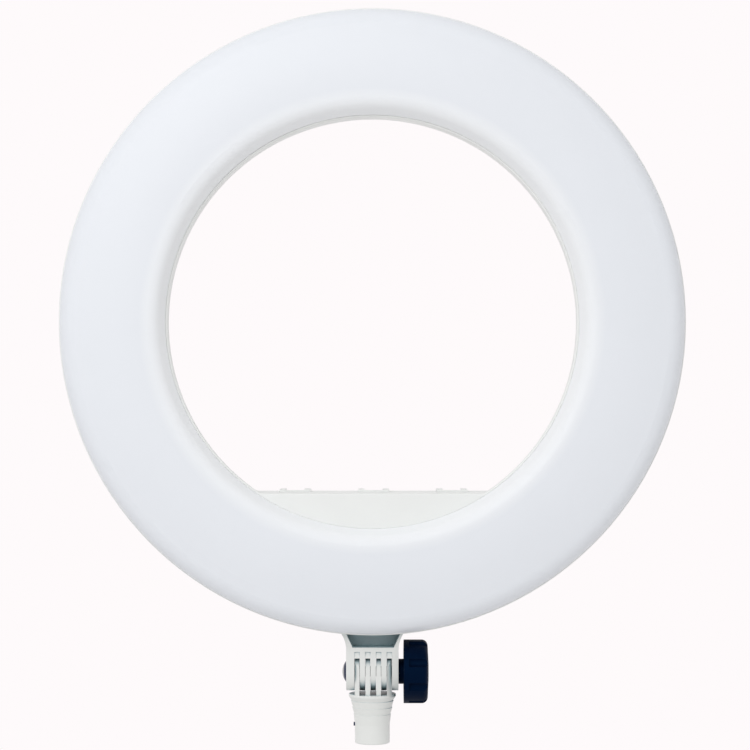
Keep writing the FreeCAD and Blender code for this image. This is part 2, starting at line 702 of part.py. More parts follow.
def group(label, shape, spots, rotation=FreeCAD.Rotation(), height=RING, turn=0):
    """Separate copies of one piece in one node."""
    copies = []
    for spot in spots:
        copy = shape.copy()
        place = FreeCAD.Vector(*[number(value) for value in spot[:3]])
        turned = spot[3] if len(spot) > 3 else rotation
        copy.Placement = FreeCAD.Placement(place, turned).multiply(shape.Placement)
        copies.append(copy)
    feature = doc.addObject("Part::Feature", label)
    feature.Label = label
    feature.Shape = Part.makeCompound(copies)
    place_body(feature, height, turn)
    NODES.append(feature)
    return feature


def polar(radius, angle, depth=None):
    """A point at an angle round the ring's axis, from +X towards +Z."""
    across = radius * cosine(angle)
    up = radius * sine(angle)
    return (across, up) if depth is None else (across, depth, up)


def polar_corner(radius, angle, bend=None):
    across, up = polar(radius, angle)
    return at(across, up) if bend is None else arc_to(across, up, bend)


# Ring levels and radii that several pieces share

rim = -dim.rim_depth
seam = 0
back = dim.back_depth
back_inside = back - dim.back_wall
seat = rim + dim.seat_drop
deck_front = -dim.deck_depth
deck_back = deck_front + dim.deck_wall
depth_total = dim.rim_depth + dim.back_depth
hole_at_seam = dim.hole_radius + dim.hole_draft * dim.rim_depth / depth_total
hole_at_back = dim.hole_radius + dim.hole_draft
wall_inside = dim.ring_radius - dim.outer_wall
hub_outside = dim.hole_radius + dim.inner_wall
skirt_inner = dim.hole_radius + dim.inner_lip + dim.diffuser_gap
skirt_outer = dim.ring_radius - dim.outer_lip - dim.diffuser_gap
flat_drop = dim.hole_radius - dim.panel_height
flat = -flat_drop
case_boss_outer = dim.ring_radius - dim.case_boss_inset
case_boss_inner = hub_outside + dim.case_boss_offset
diffuser_boss_ring = dim.ring_radius - dim.diffuser_boss_inset
board_inner = hub_outside + dim.board_inner_gap
board_outer = diffuser_boss_ring - dim.diffuser_boss_radius - dim.board_outer_gap
board_screw_inner = board_inner + dim.board_screw_inset
board_screw_outer = board_outer - dim.board_screw_inset
band_middle = (hub_outside + wall_inside) / 2
vent_inner = band_middle - dim.vent_length / 2
vent_outer = band_middle + dim.vent_length / 2
lead_hole_ring = hub_outside + dim.lead_hole_offset
driver_middle = band_middle - dim.driver_shift
driver_top = driver_middle - dim.driver_length / 2
driver_bottom = driver_middle + dim.driver_length / 2
switch_drop = dim.ring_radius - dim.switch_inset
window_drop = (flat_drop + dim.ring_radius) / 2 - dim.window_lift
dial_drop = window_drop + dim.dial_lower
control_board_half = dim.dial_spread + dim.control_board_side
control_board_top = window_drop - dim.control_board_rise
control_board_bottom = switch_drop - dim.control_board_gap
control_header_drop = control_board_bottom - dim.control_header_rise
bridge_top = dim.ring_radius - dim.bridge_height
knob_near = dim.yoke_half - dim.washer_sunk + dim.washer_wall
nut_start = knob_near + dim.nut_inset
nut_end = nut_start + dim.nut_length
bolt_end = nut_end + dim.bolt_past_nut
BOSS_COUNT = 8
BOSS_ANGLES = [22.5 + 45 * step for step in range(BOSS_COUNT)]
DIFFUSER_ANGLES = [45 * step for step in range(BOSS_COUNT)]
BOARD_COUNT = 6
BOARD_ANGLES = [60 * step for step in range(BOARD_COUNT)]


def chord_half(radius, drop):
    return root(radius * radius - drop * drop)


def segment(radius, drop):
    """The part of a disc below a level line."""
    half = chord_half(radius, drop)
    return [
        arc_to(-half, -drop, -radius),
        at(half, -drop),
        arc_to(0, -radius, -radius),
    ]


def case_boss_spots():
    rings = (case_boss_outer, case_boss_inner)
    return [polar(ring, angle) for ring in rings for angle in BOSS_ANGLES]


def diffuser_boss_spots():
    return [polar(diffuser_boss_ring, angle) for angle in DIFFUSER_ANGLES]


def driver_post_spots():
    """The driver board's posts, turned to its place round the ring."""
    low = driver_top + dim.driver_post_inset
    high = driver_bottom - dim.driver_post_inset
    side = dim.driver_half - dim.driver_post_inset
    spots = []
    for across in (side, -side):
        for reach in (low, high):
            spots.append(turned_spot(across, reach))
    return spots


def turned_spot(across, reach):
    turn = dim.driver_turn
    u = across * cosine(turn) - reach * sine(turn)
    v = -(across * sine(turn)) - reach * cosine(turn)
    return (u, v)


# Diffuser: one moulded frosted ring


def inset(corners, wall):
    """An open outline moved to the left of its direction by a wall's thickness."""
    points = [corner.vector() for corner in corners]
    normals = []
    for start, end in zip(points, points[1:]):
        way = (end - start).normalize()
        normals.append(FreeCAD.Vector(-way.y, way.x, 0))
    moved = []
    for corner, before, after in zip(corners, normals[:1] + normals, normals + normals[-1:]):
        mitre = (before + after) / (1 + before.dot(after))
        rounding = None if corner.rounding is None else corner.rounding - wall
        moved.append(Corner(corner.u + wall * mitre.x, corner.v + wall * mitre.y, rounding))
    return moved


def make_front_diffuser():
    body = new_body("front_diffuser", RING)
    crest = dim.hole_radius + dim.crest_width
    shoulder = dim.ring_radius - dim.shoulder_width
    span = shoulder - crest
    crown = (crest + shoulder) / 2 - dim.crown_shift
    crown_round = span * span / (8 * dim.crown_bulge)
    outside = [
        at(skirt_inner, seat),
        at(skirt_inner, rim - dim.skirt_rise),
        rounded(crest, rim - dim.crest_rise, dim.crest_round),
        rounded(crown, rim - dim.crown_rise, crown_round),
        rounded(shoulder, rim - dim.shoulder_rise, dim.shoulder_round),
        rounded(skirt_outer, rim - dim.edge_rise, dim.edge_round),
        at(skirt_outer, seat),
    ]
    inside = inset(outside, dim.diffuser_wall)
    revolve(body, "dome", "XY", "Y", [outside + inside[::-1]])
    top = rim - dim.diffuser_boss_reach
    bosses = [circle(u, v, dim.diffuser_boss_radius) for u, v in diffuser_boss_spots()]
    pad(body, "bosses", "XZ", deck_front, top, bosses)
    holes = [circle(u, v, dim.m3_radius + dim.thread_gap) for u, v in diffuser_boss_spots()]
    pocket(body, "pilots", "XZ", deck_front, seat, holes)


# Front housing: rims, deck and the front of the accessory panel


def make_front_housing():
    body = new_body("front_housing", RING)
    section = [
        at(dim.ring_radius - dim.outer_lip, rim),
        at(dim.ring_radius, rim),
        at(dim.ring_radius, seam),
        at(wall_inside, seam),
        at(wall_inside, deck_back),
        at(hub_outside, deck_back),
        at(hub_outside, seam),
        at(hole_at_seam, seam),
        at(dim.hole_radius, rim),
        at(dim.hole_radius + dim.inner_lip, rim),
        at(dim.hole_radius + dim.inner_lip, seat),
        at(hub_outside, seat),
        at(hub_outside, deck_front),
        at(wall_inside, deck_front),
        at(wall_inside, seat),
        at(dim.ring_radius - dim.outer_lip, seat),
    ]
    revolve(body, "rims", "XY", "Y", [section])
    joined = dim.hole_radius + dim.inner_lip - dim.diffuser_gap / 2
    pad(body, "panel", "XZ", rim, seam, [segment(joined, flat_drop)])
    fillet(body, "corners", dim.flat_corner, is_flat_corner)
    hollow = flat_drop + dim.panel_wall
    pocket(body, "hollow", "XZ", seam, rim + dim.panel_wall, [segment(dim.hole_radius, hollow)])
    pocket(body, "way", "XZ", seam, deck_back, [segment(hub_outside + TOUCH, hollow)])
    fillet(body, "nose", dim.inner_lip - dim.rim_flat, is_flat_nose)
    posts = [circle(u, v, dim.post_radius) for u, v in driver_post_spots()]
    pad(body, "driver_posts", "XZ", deck_back, deck_back + dim.driver_post, posts)
    bosses = [circle(u, v, dim.case_boss_radius) for u, v in case_boss_spots()]
    pad(body, "bosses", "XZ", deck_back, seam, bosses)
    pilots = [circle(u, v, dim.m3_radius + dim.thread_gap) for u, v in case_boss_spots()]
    pocket(body, "pilots", "XZ", seam, seam - dim.case_screw_bite, pilots)
    tight = dim.m3_radius + dim.thread_gap
    holes = [circle(u, v, dim.m3_radius + dim.screw_gap) for u, v in diffuser_boss_spots()]
    holes += [circle(u, v, tight) for u, v in board_screw_spots()]
    holes += [circle(*polar(lead_hole_ring, dim.lead_hole_angle), dim.lead_hole)]
    pocket(body, "holes", "XZ", deck_back, deck_front, holes)
    driver_holes = [circle(u, v, tight) for u, v in driver_post_spots()]
    pocket(body, "driver_pilots", "XZ", deck_back + dim.driver_post, deck_front, driver_holes)


def is_flat_corner(edge):
    """The edges along Y where the accessory flat meets the opening."""
    spot = middle(edge)
    deep = abs(edge.Vertexes[0].Point.y - edge.Vertexes[-1].Point.y) > number(back) / 2
    level = abs(spot.z - number(flat)) < number(dim.hole_draft)
    aside = abs(abs(spot.x) - number(chord_half(hole_at_seam, flat_drop)))
    return deep and level and aside < number(dim.hole_draft) * 2


def is_flat_nose(edge):
    spot = middle(edge)
    level = abs(spot.z - number(flat)) < TOUCH
    return level and abs(spot.y - number(rim)) < TOUCH and abs(spot.x) < 1


def board_screw_spots():
    spots = []
    for board in BOARD_ANGLES:
        for side in (-1, 1):
            angle = board + 30 + side * dim.board_screw_angle
            spots.append(polar(board_screw_inner, angle))
            spots.append(polar(board_screw_outer, angle))
    return spots


def control_post_spots():
    top = -(control_board_top + dim.control_post_inset)
    bottom = -(control_board_bottom - dim.control_post_inset)
    side = control_board_half - dim.control_post_inset
    return [(side, top), (side, bottom), (-side, top), (-side, bottom)]


def shoe_places():
    return [dim.shoe_shift + step * dim.shoe_pitch for step in (-1, 0, 1)]


def yoke_screw_places():
    return [dim.yoke_screw_step * step for step in (-1.5, -0.5, 0.5, 1.5)]


control_board_back = back_inside - dim.pot_depth
shoe_end = back - dim.shoe_length - dim.diffuser_gap


# Rear housing: back, controls, cooling slots, shoe pockets and mounting block


def make_rear_housing():
    body = new_body("rear_housing", RING)
    section = [
        at(hole_at_seam, seam),
        at(hole_at_back, back),
        at(dim.ring_radius, back),
        at(dim.ring_radius, seam),
        at(wall_inside, seam),
        rounded(wall_inside, back_inside, dim.back_inner_round),
        at(hole_at_back + dim.inner_wall, back_inside),
        at(hub_outside, seam),
    ]
    revolve(body, "tray", "XY", "Y", [section])
    joined = hole_at_back + dim.inner_wall / 2
    pad(body, "flat_block", "XZ", seam, back, [segment(joined, flat_drop)])
    fillet(body, "corners", dim.flat_corner, is_flat_corner)
    fillet(body, "outer_round", dim.back_round, lambda e: on_circle(e, dim.ring_radius, back))
    fillet(body, "hole_round", dim.hole_round, lambda e: on_circle(e, hole_at_back, back))
    hollow = segment(hole_at_back + dim.inner_wall + TOUCH, flat_drop + dim.flat_wall)
    pocket(body, "hollow", "XZ", seam, back_inside, [hollow])
    bridge = [
        at(-dim.bridge_half, -bridge_top),
        at(-dim.bridge_half, -chord_half(wall_inside + TOUCH, dim.bridge_half)),
        arc_to(0, -(wall_inside + TOUCH), wall_inside + TOUCH),
        arc_to(dim.bridge_half, -chord_half(wall_inside + TOUCH, dim.bridge_half),
               wall_inside + TOUCH),
        at(dim.bridge_half, -bridge_top),
    ]
    pad(body, "bridge", "XZ", seam, dim.bridge_depth, [bridge])
    tubes = [circle(u, v, dim.case_boss_radius) for u, v in case_boss_spots()]
    pad(body, "tubes", "XZ", back_inside, seam, tubes)
    heads = [circle(u, v, dim.m3_head_radius + dim.screw_gap) for u, v in case_boss_spots()]
    pocket(body, "head_wells", "XZ", back, dim.case_head_depth, heads)
    shanks = [circle(u, v, dim.m3_radius + dim.screw_gap) for u, v in case_boss_spots()]
    pocket(body, "shank_holes", "XZ", dim.case_head_depth, seam, shanks)
    posts = [circle(u, v, dim.post_radius) for u, v in control_post_spots()]
    pad(body, "control_posts", "XZ", back_inside, control_board_back, posts)
    pilots = [circle(u, v, dim.m3_radius + dim.thread_gap) for u, v in control_post_spots()]
    pocket(body, "control_pilots", "XZ", control_board_back, back_inside - dim.pilot_floor, pilots)
    cut_shoe_pockets(body)
    cut_control_openings(body)
    holes = [circle(x, dim.yoke_screw_depth, dim.m4_radius + dim.screw_gap)
             for x in yoke_screw_places()]
    pocket(body, "yoke_holes", "XY", -bridge_top, -(dim.ring_radius + PAST), holes)
    first = -dim.vent_group_step / 2
    slots = [vent_slot(first + step * dim.vent_step) for step in (-2, -1, 0, 1, 2)]
    vents = pocket(body, "vents", "XZ", back, back_inside - TOUCH, slots)
    polar_copies(body, "vent_groups", vents, "Y", -VENT_SPAN * dim.vent_group_step, VENT_SPAN + 1)


VENT_SPAN = 7


def vent_slot(angle):
    """A round-ended radial slot."""
    half = dim.vent_width / 2
    side_u, side_v = half * sine(angle), half * cosine(angle)
    low_u, low_v = polar(vent_inner + half, angle)
    high_u, high_v = polar(vent_outer - half, angle)
    tip_u, tip_v = polar(vent_outer, angle)
    tail_u, tail_v = polar(vent_inner, angle)
    return [
        arc_to(low_u + side_u, low_v - side_v, half),
        at(high_u + side_u, high_v - side_v),
        arc_to(tip_u, tip_v, half),
        arc_to(high_u - side_u, high_v + side_v, half),
        at(low_u - side_u, low_v + side_v),
        arc_to(tail_u, tail_v, half),
    ]


def cut_shoe_pockets(body):
    half = dim.shoe_width / 2 + dim.shoe_gap
    floor = flat - dim.shoe_sunk - dim.shoe_floor
    for index, x in enumerate(shoe_places()):
        outline = rectangle(x - half, floor, x + half, flat + PAST)
        pocket(body, f"shoe_pocket_{index}", "XZ", back, shoe_end, [outline])
    screws = [circle(x, y, dim.m2_radius + dim.shoe_boss_wall) for x, y in shoe_screw_spots()]
    ceiling = flat - dim.flat_wall + TOUCH
    pad(body, "shoe_bosses", "XY", ceiling, floor - dim.m2_length, screws)
    pilots = [circle(x, y, dim.m2_radius + dim.thread_gap) for x, y in shoe_screw_spots()]
    pocket(body, "shoe_pilots", "XY", floor, floor - dim.m2_length, pilots)


def shoe_screw_spots():
    middle_depth = back - dim.shoe_length / 2
    half = dim.shoe_screw_spread / 2
    return [(x, middle_depth + side * half) for x in shoe_places() for side in (-1, 1)]


def cut_control_openings(body):
    half_w = dim.window_width / 2
    half_h = dim.window_height / 2
    low, high = -window_drop - half_h, -window_drop + half_h
    ledge = dim.window_ledge
    pocket(body, "window_seat", "XZ", back, back - dim.window_wall - dim.shoe_gap,
           [rectangle(-half_w, low, half_w, high)])
    pocket(body, "window_opening", "XZ", back, back_inside - TOUCH,
           [rectangle(-half_w + ledge, low + ledge, half_w - ledge, high - ledge)])
    gap = dim.screw_gap
    holes = [circle(side * dim.dial_spread, -dial_drop, dim.bushing_radius + gap)
             for side in (-1, 1)]
    holes.append(circle(-dim.inlet_shift, -switch_drop, dim.inlet_body_radius + gap))
    half_sw = dim.switch_width / 2 + gap
    half_sh = dim.switch_height / 2 + gap
    holes.append(rectangle(dim.switch_shift - half_sw, -switch_drop - half_sh,
                           dim.switch_shift + half_sw, -switch_drop + half_sh))
    pocket(body, "control_holes", "XZ", back, back_inside - TOUCH, holes)


# Screws: each kind is made once, head up, with its seat at the origin


# Reach of the cross in a screw head, as a share of the head's radius
RECESS_SHARE = 0.6


def screw_template(label, radius, head_radius, head_height, length, countersunk=False):
    body = new_body(label, kept=False)
    top = 0 if countersunk else head_height
    foot = -head_height if countersunk else 0
    section = [
        at(0, top),
        at(head_radius, top) if countersunk else rounded(head_radius, top, dim.head_round),
        at(radius if countersunk else head_radius, foot),
        at(radius, foot if countersunk else 0),
        at(radius, -length + radius / 2),
        at(radius / 2, -length),
        at(0, -length),
    ]
    if countersunk:
        del section[3]
    revolve(body, "turned", "XZ", "Z", [section])
    arm = head_radius * RECESS_SHARE
    pocket(body, "recess", "XY", top, top - dim.recess_depth, [cross(dim.recess_width, arm)])
    return body.Shape


FACING_BACK = FreeCAD.Rotation(FreeCAD.Vector(0, 0, 1), FreeCAD.Vector(0, 1, 0))
FACING_FRONT = FreeCAD.Rotation(FreeCAD.Vector(0, 0, 1), FreeCAD.Vector(0, -1, 0))


def make_screws():
    head = (dim.m3_head_radius, dim.m3_head_height)
    case_length = dim.case_head_depth + dim.case_screw_bite - dim.screw_room
    case = screw_template("case_screw", dim.m3_radius, *head, case_length)
    group("housing_screws", case,
          [(u, dim.case_head_depth, v) for u, v in case_boss_spots()], FACING_BACK)
    short_length = dim.deck_wall + dim.board_wall - dim.screw_room
    short = screw_template("board_screw", dim.m3_radius, *head, short_length)
    board_face = deck_front - dim.board_wall
    group("board_screws", short, [(u, board_face, v) for u, v in board_screw_spots()],
          FACING_FRONT)
    long_length = dim.deck_wall + dim.diffuser_screw_bite
    long = screw_template("diffuser_screw", dim.m3_radius, *head, long_length)
    group("diffuser_screws", long, [(u, deck_back, v) for u, v in diffuser_boss_spots()],
          FACING_BACK)
    post_length = dim.driver_post + dim.deck_wall + dim.board_wall - dim.screw_room
    post = screw_template("post_screw", dim.m3_radius, *head, post_length)
    driver_face = deck_back + dim.driver_post + dim.board_wall
    group("driver_screws", post, [(u, driver_face, v) for u, v in driver_post_spots()],
          FACING_BACK)
    control_face = control_board_back - dim.board_wall
    group("control_screws", post, [(u, control_face, v) for u, v in control_post_spots()],
          FACING_FRONT)
    heavy = screw_template("bracket_screw", dim.m4_radius, dim.m4_head_radius,
                           dim.m4_head_height, dim.yoke_screw_length)
    plate_top = -bridge_top + dim.plate_wall
    group("yoke_screws", heavy,
          [(x, dim.yoke_screw_depth, plate_top) for x in yoke_screw_places()])
    small = screw_template("shoe_screw", dim.m2_radius, dim.m2_head_radius,
                           dim.m2_head_radius - dim.m2_radius, dim.m2_length, countersunk=True)
    floor = flat - dim.shoe_sunk
    group("shoe_screws", small, [(x, y, floor) for x, y in shoe_screw_spots()])


# Accessory shoes


def make_cold_shoe(label, x):
    body = new_body(label, RING)
    half = dim.shoe_width / 2
    channel = dim.shoe_channel / 2
    mouth = dim.shoe_mouth / 2
    floor = flat - dim.shoe_sunk
    top = flat + dim.shoe_proud
    section = [
        at(x - half, floor - dim.shoe_floor),
        at(x + half, floor - dim.shoe_floor),
        rounded(x + half, top, dim.shoe_edge),
        at(x + mouth, top),
        at(x + mouth, top - dim.shoe_lip),
        at(x + channel, top - dim.shoe_lip),
        at(x + channel, floor),
        at(x - channel, floor),
        at(x - channel, top - dim.shoe_lip),
        at(x - mouth, top - dim.shoe_lip),
        at(x - mouth, top),
        rounded(x - half, top, dim.shoe_edge),
    ]
    front = back - dim.shoe_length
    pad(body, "rails", "XZ", front, back, [section])
    into = dim.shoe_stop_overlap
    stop = rectangle(x - channel - into, floor - into, x + channel + into, top - into)
    pad(body, "stop", "XZ", front, front + dim.shoe_stop, [stop])
    spots = [spot for spot in shoe_screw_spots() if abs(number(spot[0] - x)) < 1]
    holes = [circle(u, v, dim.m2_radius + dim.shoe_screw_gap) for u, v in spots]
    pocket(body, "screw_holes", "XY", floor, floor - dim.shoe_floor, holes)
    sink = dim.m2_head_radius - dim.m2_radius
    chamfer(body, "countersinks", sink, lambda edge: is_shoe_hole(edge, floor))


def is_shoe_hole(edge, level):
    curve = edge.Curve
    if not hasattr(curve, "Radius"):
        return False
    near = abs(curve.Radius - number(dim.m2_radius + dim.shoe_screw_gap)) < TOUCH
    return near and abs(curve.Center.z - number(level)) < TOUCH


# Light boards and their chips


def make_led_boards():
    template = new_body("light_board", kept=False)
    inner = board_inner
    outer = board_outer
    low = 0 + dim.board_joint
    high = 60 - dim.board_joint
    outline = [
        polar_corner(inner, low, -inner),
        polar_corner(outer, low),
        polar_corner(outer, 30, outer),
        polar_corner(outer, high, outer),
        polar_corner(inner, high),
        polar_corner(inner, 30, -inner),
    ]
    holes = []
    for side in (-1, 1):
        angle = 30 + side * dim.board_screw_angle
        for ring in (board_screw_inner, board_screw_outer):
            holes.append(circle(*polar(ring, angle), dim.m3_radius + dim.screw_gap))
    pad(template, "sheet", "XZ", deck_front, deck_front - dim.board_wall, [outline] + holes)
    spots = [(0, 0, 0, ring_turn(angle)) for angle in BOARD_ANGLES]
    group("led_boards", template.Shape, spots)


def ring_turn(angle):
    """Turns a shape from +X towards +Z about the ring's axis."""
    return FreeCAD.Rotation(FreeCAD.Vector(0, 1, 0), -angle)


LED_ROWS = 4
LEDS_PER_ROW = 60


def led_row(row):
    """Radius of a row of light chips; halves lie between rows."""
    step = (board_outer - board_inner - dim.led_margin * 2) / (LED_ROWS - 1)
    return board_inner + dim.led_margin + step * row


def make_leds():
    template = new_body("light_chip", kept=False)
    half_l = dim.led_length / 2
    half_w = dim.led_width / 2
    pad(template, "case", "XZ", 0, -dim.led_height,
        [rectangle(-half_w, -half_l, half_w, half_l)])
    pocket(template, "well", "XZ", -dim.led_height, dim.led_well - dim.led_height,
           [circle(0, 0, dim.led_lens)])
    face = deck_front - dim.board_wall
    step = 360 / LEDS_PER_ROW
    for label, first in (("warm_leds", 0), ("cool_leds", 1)):
        spots = []
        for row in range(first, LED_ROWS, 2):
            radius = led_row(row)
            for index in range(LEDS_PER_ROW):
                angle = (index + 0.5) * step
                spots.append((*polar(radius, angle, face), ring_turn(angle)))
        group(label, template.Shape, spots)


# Driver board and its parts, in a frame turned round the ring


def driver_box(across, reach, half_u, half_v):
    return rectangle(across - half_u, -reach - half_v, across + half_u, -reach + half_v)


def make_driver():
    turn = dim.driver_turn
    base = deck_back + dim.driver_post
    face = base + dim.board_wall
    board = new_body("driver_board", RING, turn)
    half = dim.driver_half
    side = half - dim.driver_post_inset
    low = driver_top + dim.driver_post_inset
    high = driver_bottom - dim.driver_post_inset
    holes = [circle(s * side, -reach, dim.m3_radius + dim.screw_gap)
             for s in (-1, 1) for reach in (low, high)]
    sheet = rectangle(-half, -driver_bottom, half, -driver_top)
    pad(board, "sheet", "XZ", base, face, [sheet] + holes)
    make_capacitors(turn, face, driver_middle)
    make_inductors(turn, face, driver_middle)
    make_heat_sink(turn, face, driver_middle)
    headers = new_body("driver_headers", RING, turn)
    half_h = dim.header_length / 2
    half_w = dim.header_width / 2
    places = header_places()
    boxes = [driver_box(u, reach, half_w, half_h) for u, reach in places]
    pad(headers, "shells", "XZ", face, face + dim.header_height, boxes)
    in_h = half_h - dim.header_wall
    in_w = half_w - dim.header_wall
    wells = [driver_box(u, reach, in_w, in_h) for u, reach in places]
    pocket(headers, "wells", "XZ", face + dim.header_height, face + dim.header_floor, wells)


def make_capacitors(turn, face, centre):
    body = new_body("driver_capacitors", RING, turn)
    first = dim.capacitor_inset - dim.driver_half
    v = -centre - dim.capacitor_shift
    spots = [(first + dim.capacitor_step * index, v) for index in range(3)]
    radius = dim.capacitor_radius
    cans = [circle(u, v, radius) for u, v in spots]
    pad(body, "cans", "XZ", face, face + dim.capacitor_height, cans)
    low = face + dim.capacitor_groove_low
    for index, (u, v) in enumerate(spots):
        ring = [circle(u, v, radius + PAST), circle(u, v, radius - dim.capacitor_groove)]
        pocket(body, f"groove_{index}", "XZ", low, low + dim.capacitor_groove_width, ring)


def make_inductors(turn, face, centre):
    body = new_body("driver_inductors", RING, turn)
    v = -centre - dim.inductor_shift
    spots = [(dim.inductor_first + dim.inductor_step * index, v) for index in range(2)]
    top = face + dim.inductor_height
    flange = dim.inductor_flange
    plates = [circle(u, v, dim.inductor_radius) for u, v in spots]
    windings = [circle(u, v, dim.inductor_winding) for u, v in spots]
    pad(body, "lower_plates", "XZ", face, face + flange, plates)
    pad(body, "windings", "XZ", face + flange, top - flange, windings)
    pad(body, "upper_plates", "XZ", top - flange, top, plates)


SINK_FINS = 7


def make_heat_sink(turn, face, centre):
    """The driver's heat sink and the power chips that it stands on."""
    body = new_body("driver_heat_sink", RING, turn)
    half = dim.sink_length / 2
    side = dim.sink_width / 2
    u = dim.sink_inset - dim.driver_half
    reach = centre - dim.sink_shift
    low = face + dim.chip_height
    top = low + dim.sink_base
    pad(body, "base", "XZ", low, top, [driver_box(u, reach, half, side)])
    half_fin = dim.sink_fin / 2
    step = (dim.sink_length - dim.sink_fin) / (SINK_FINS - 1)
    fins = [driver_box(u - half + half_fin + step * index, reach, half_fin, side)
            for index in range(SINK_FINS)]
    pad(body, "fins", "XZ", top, low + dim.sink_height - dim.chip_height, fins)
    chips = new_body("driver_chips", RING, turn)
    packages = [driver_box(u + dim.chip_step * index, reach, dim.chip_length / 2,
                           dim.chip_width / 2) for index in (-1, 0, 1)]
    pad(chips, "packages", "XZ", face, low, packages)


def header_places():
    """The driver's wire headers: across the board, and away from the ring's axis."""
    side = dim.driver_half - dim.header_inset
    step = dim.header_length + dim.header_gap
    return [(side, driver_middle + step * index) for index in (-1, 0, 1)]


# Control board with its display and potentiometers


def make_controls():
    board = new_body("control_board", RING)
    half = control_board_half
    front = control_board_back - dim.board_wall
    holes = [circle(u, v, dim.m3_radius + dim.screw_gap) for u, v in control_post_spots()]
    sheet = rectangle(-half, -control_board_bottom, half, -control_board_top)
    pad(board, "sheet", "XZ", front, control_board_back, [sheet] + holes)
    chip = new_body("control_chip", RING)
    half_chip = dim.control_chip_size / 2
    chip_x = -dim.control_chip_shift
    chip_z = -dial_drop
    pad(chip, "package", "XZ", front, front - dim.control_chip_height,
        [rectangle(chip_x - half_chip, chip_z - half_chip,
                   chip_x + half_chip, chip_z + half_chip)])
    header = new_body("control_header", RING)
    half_l = dim.header_length / 2
    half_w = dim.header_width / 2
    level = -control_header_drop
    pad(header, "shell", "XZ", front, front - dim.header_height,
        [rectangle(-half_w, level - half_l, half_w, level + half_l)])
    in_l = half_l - dim.header_wall
    in_w = half_w - dim.header_wall
    pocket(header, "well", "XZ", front - dim.header_height, front - dim.header_floor,
           [rectangle(-in_w, level - in_l, in_w, level + in_l)])
    make_display()
    for label, side in (("brightness", 1), ("colour", -1)):
        make_dial(label, side * dim.dial_spread)


def make_display():
    """The display on the control board, and the window in front of it."""
    body = new_body("display_module", RING)
    z = -window_drop
    half_u = dim.window_width / 2 - dim.window_ledge + dim.display_reach
    half_v = dim.window_height / 2 - dim.window_ledge + dim.display_reach
    top = back_inside - dim.display_gap
    pad(body, "frame", "XZ", control_board_back, top,
        [rectangle(-half_u, z - half_v, half_u, z + half_v)])
    glass_u = half_u - dim.display_frame
    glass_v = half_v - dim.display_frame
    pad(body, "glass", "XZ", top, top + dim.display_glass,
        [rectangle(-glass_u, z - glass_v, glass_u, z + glass_v)])
    window = new_body("display_window", RING)
    gap = dim.shoe_gap
    pane_u = dim.window_width / 2 - gap
    pane_v = dim.window_height / 2 - gap
    pad(window, "pane", "XZ", back - gap - dim.window_wall, back - gap,
        [rectangle(-pane_u, z - pane_v, pane_u, z + pane_v)])


def make_dial(label, x):
    """A potentiometer behind the back, and the dial on its shaft."""
    z = -dial_drop
    pot = new_body(f"{label}_pot", RING)
    tip = back_inside + dim.bushing_length
    floor = control_board_back + dim.pot_floor
    pad(pot, "case", "XZ", control_board_back, back_inside, [circle(x, z, dim.pot_radius)])
    pad(pot, "bushing", "XZ", back_inside, tip, [circle(x, z, dim.bushing_radius)])
    pocket(pot, "bore", "XZ", tip, floor, [circle(x, z, dim.shaft_radius + dim.shaft_gap)])
    nut = new_body(f"{label}_nut", RING)
    pad(nut, "nut", "XZ", back, back + dim.pot_nut_height,
        [hexagon(x, z, dim.pot_nut_half), circle(x, z, dim.bushing_radius + dim.thread_gap)])
    shaft = new_body(f"{label}_shaft", RING)
    shaft_end = back_inside + dim.shaft_length
    step = tip + dim.shaft_step_gap
    pad(shaft, "rod", "XZ", floor + dim.shaft_gap, shaft_end, [circle(x, z, dim.shaft_radius)])
    pad(shaft, "end", "XZ", step, shaft_end, [circle(x, z, dim.shaft_end_radius)])
    dial = new_body(f"{label}_dial", RING)
    low = back + dim.dial_gap
    high = low + dim.dial_height
    pad(dial, "cap", "XZ", low, high, [circle(x, z, dim.dial_radius)])
    chamfer(dial, "edge", dim.dial_edge, lambda edge: is_rim(edge, dim.dial_radius, high))
    pocket(dial, "nut_well", "XZ", low, step,
           [circle(x, z, dim.pot_nut_half + dim.dial_well_gap)])
    pocket(dial, "socket", "XZ", low, shaft_end + dim.shaft_gap,
           [circle(x, z, dim.shaft_end_radius + dim.shaft_gap)])
    pocket(dial, "grip", "XZ", high, low + dim.dial_groove_low, dial_grooves(x, z))
    half = dim.pointer_width / 2
    line = rectangle(x - half, z + dim.pointer_start, x + half, z + dim.pointer_end)
    pocket(dial, "pointer", "XZ", high, high - dim.pointer_depth, [line])


def dial_grooves(x, z):
    """Grip grooves round a dial, none of them in line with its pointer."""
    count = int(number(dim.dial_grooves))
    reach = dim.dial_radius + dim.dial_groove_out
    angles = [(index + 0.5) * 360 / count for index in range(count)]
    return [circle(x + reach * cosine(angle), z + reach * sine(angle), dim.dial_groove)
            for angle in angles]


def is_rim(edge, radius, depth):
    curve = edge.Curve
    if not hasattr(curve, "Radius"):
        return False
    near = abs(curve.Radius - number(radius)) < TOUCH
    return near and abs(curve.Center.y - number(depth)) < TOUCH


# Power switch and inlet


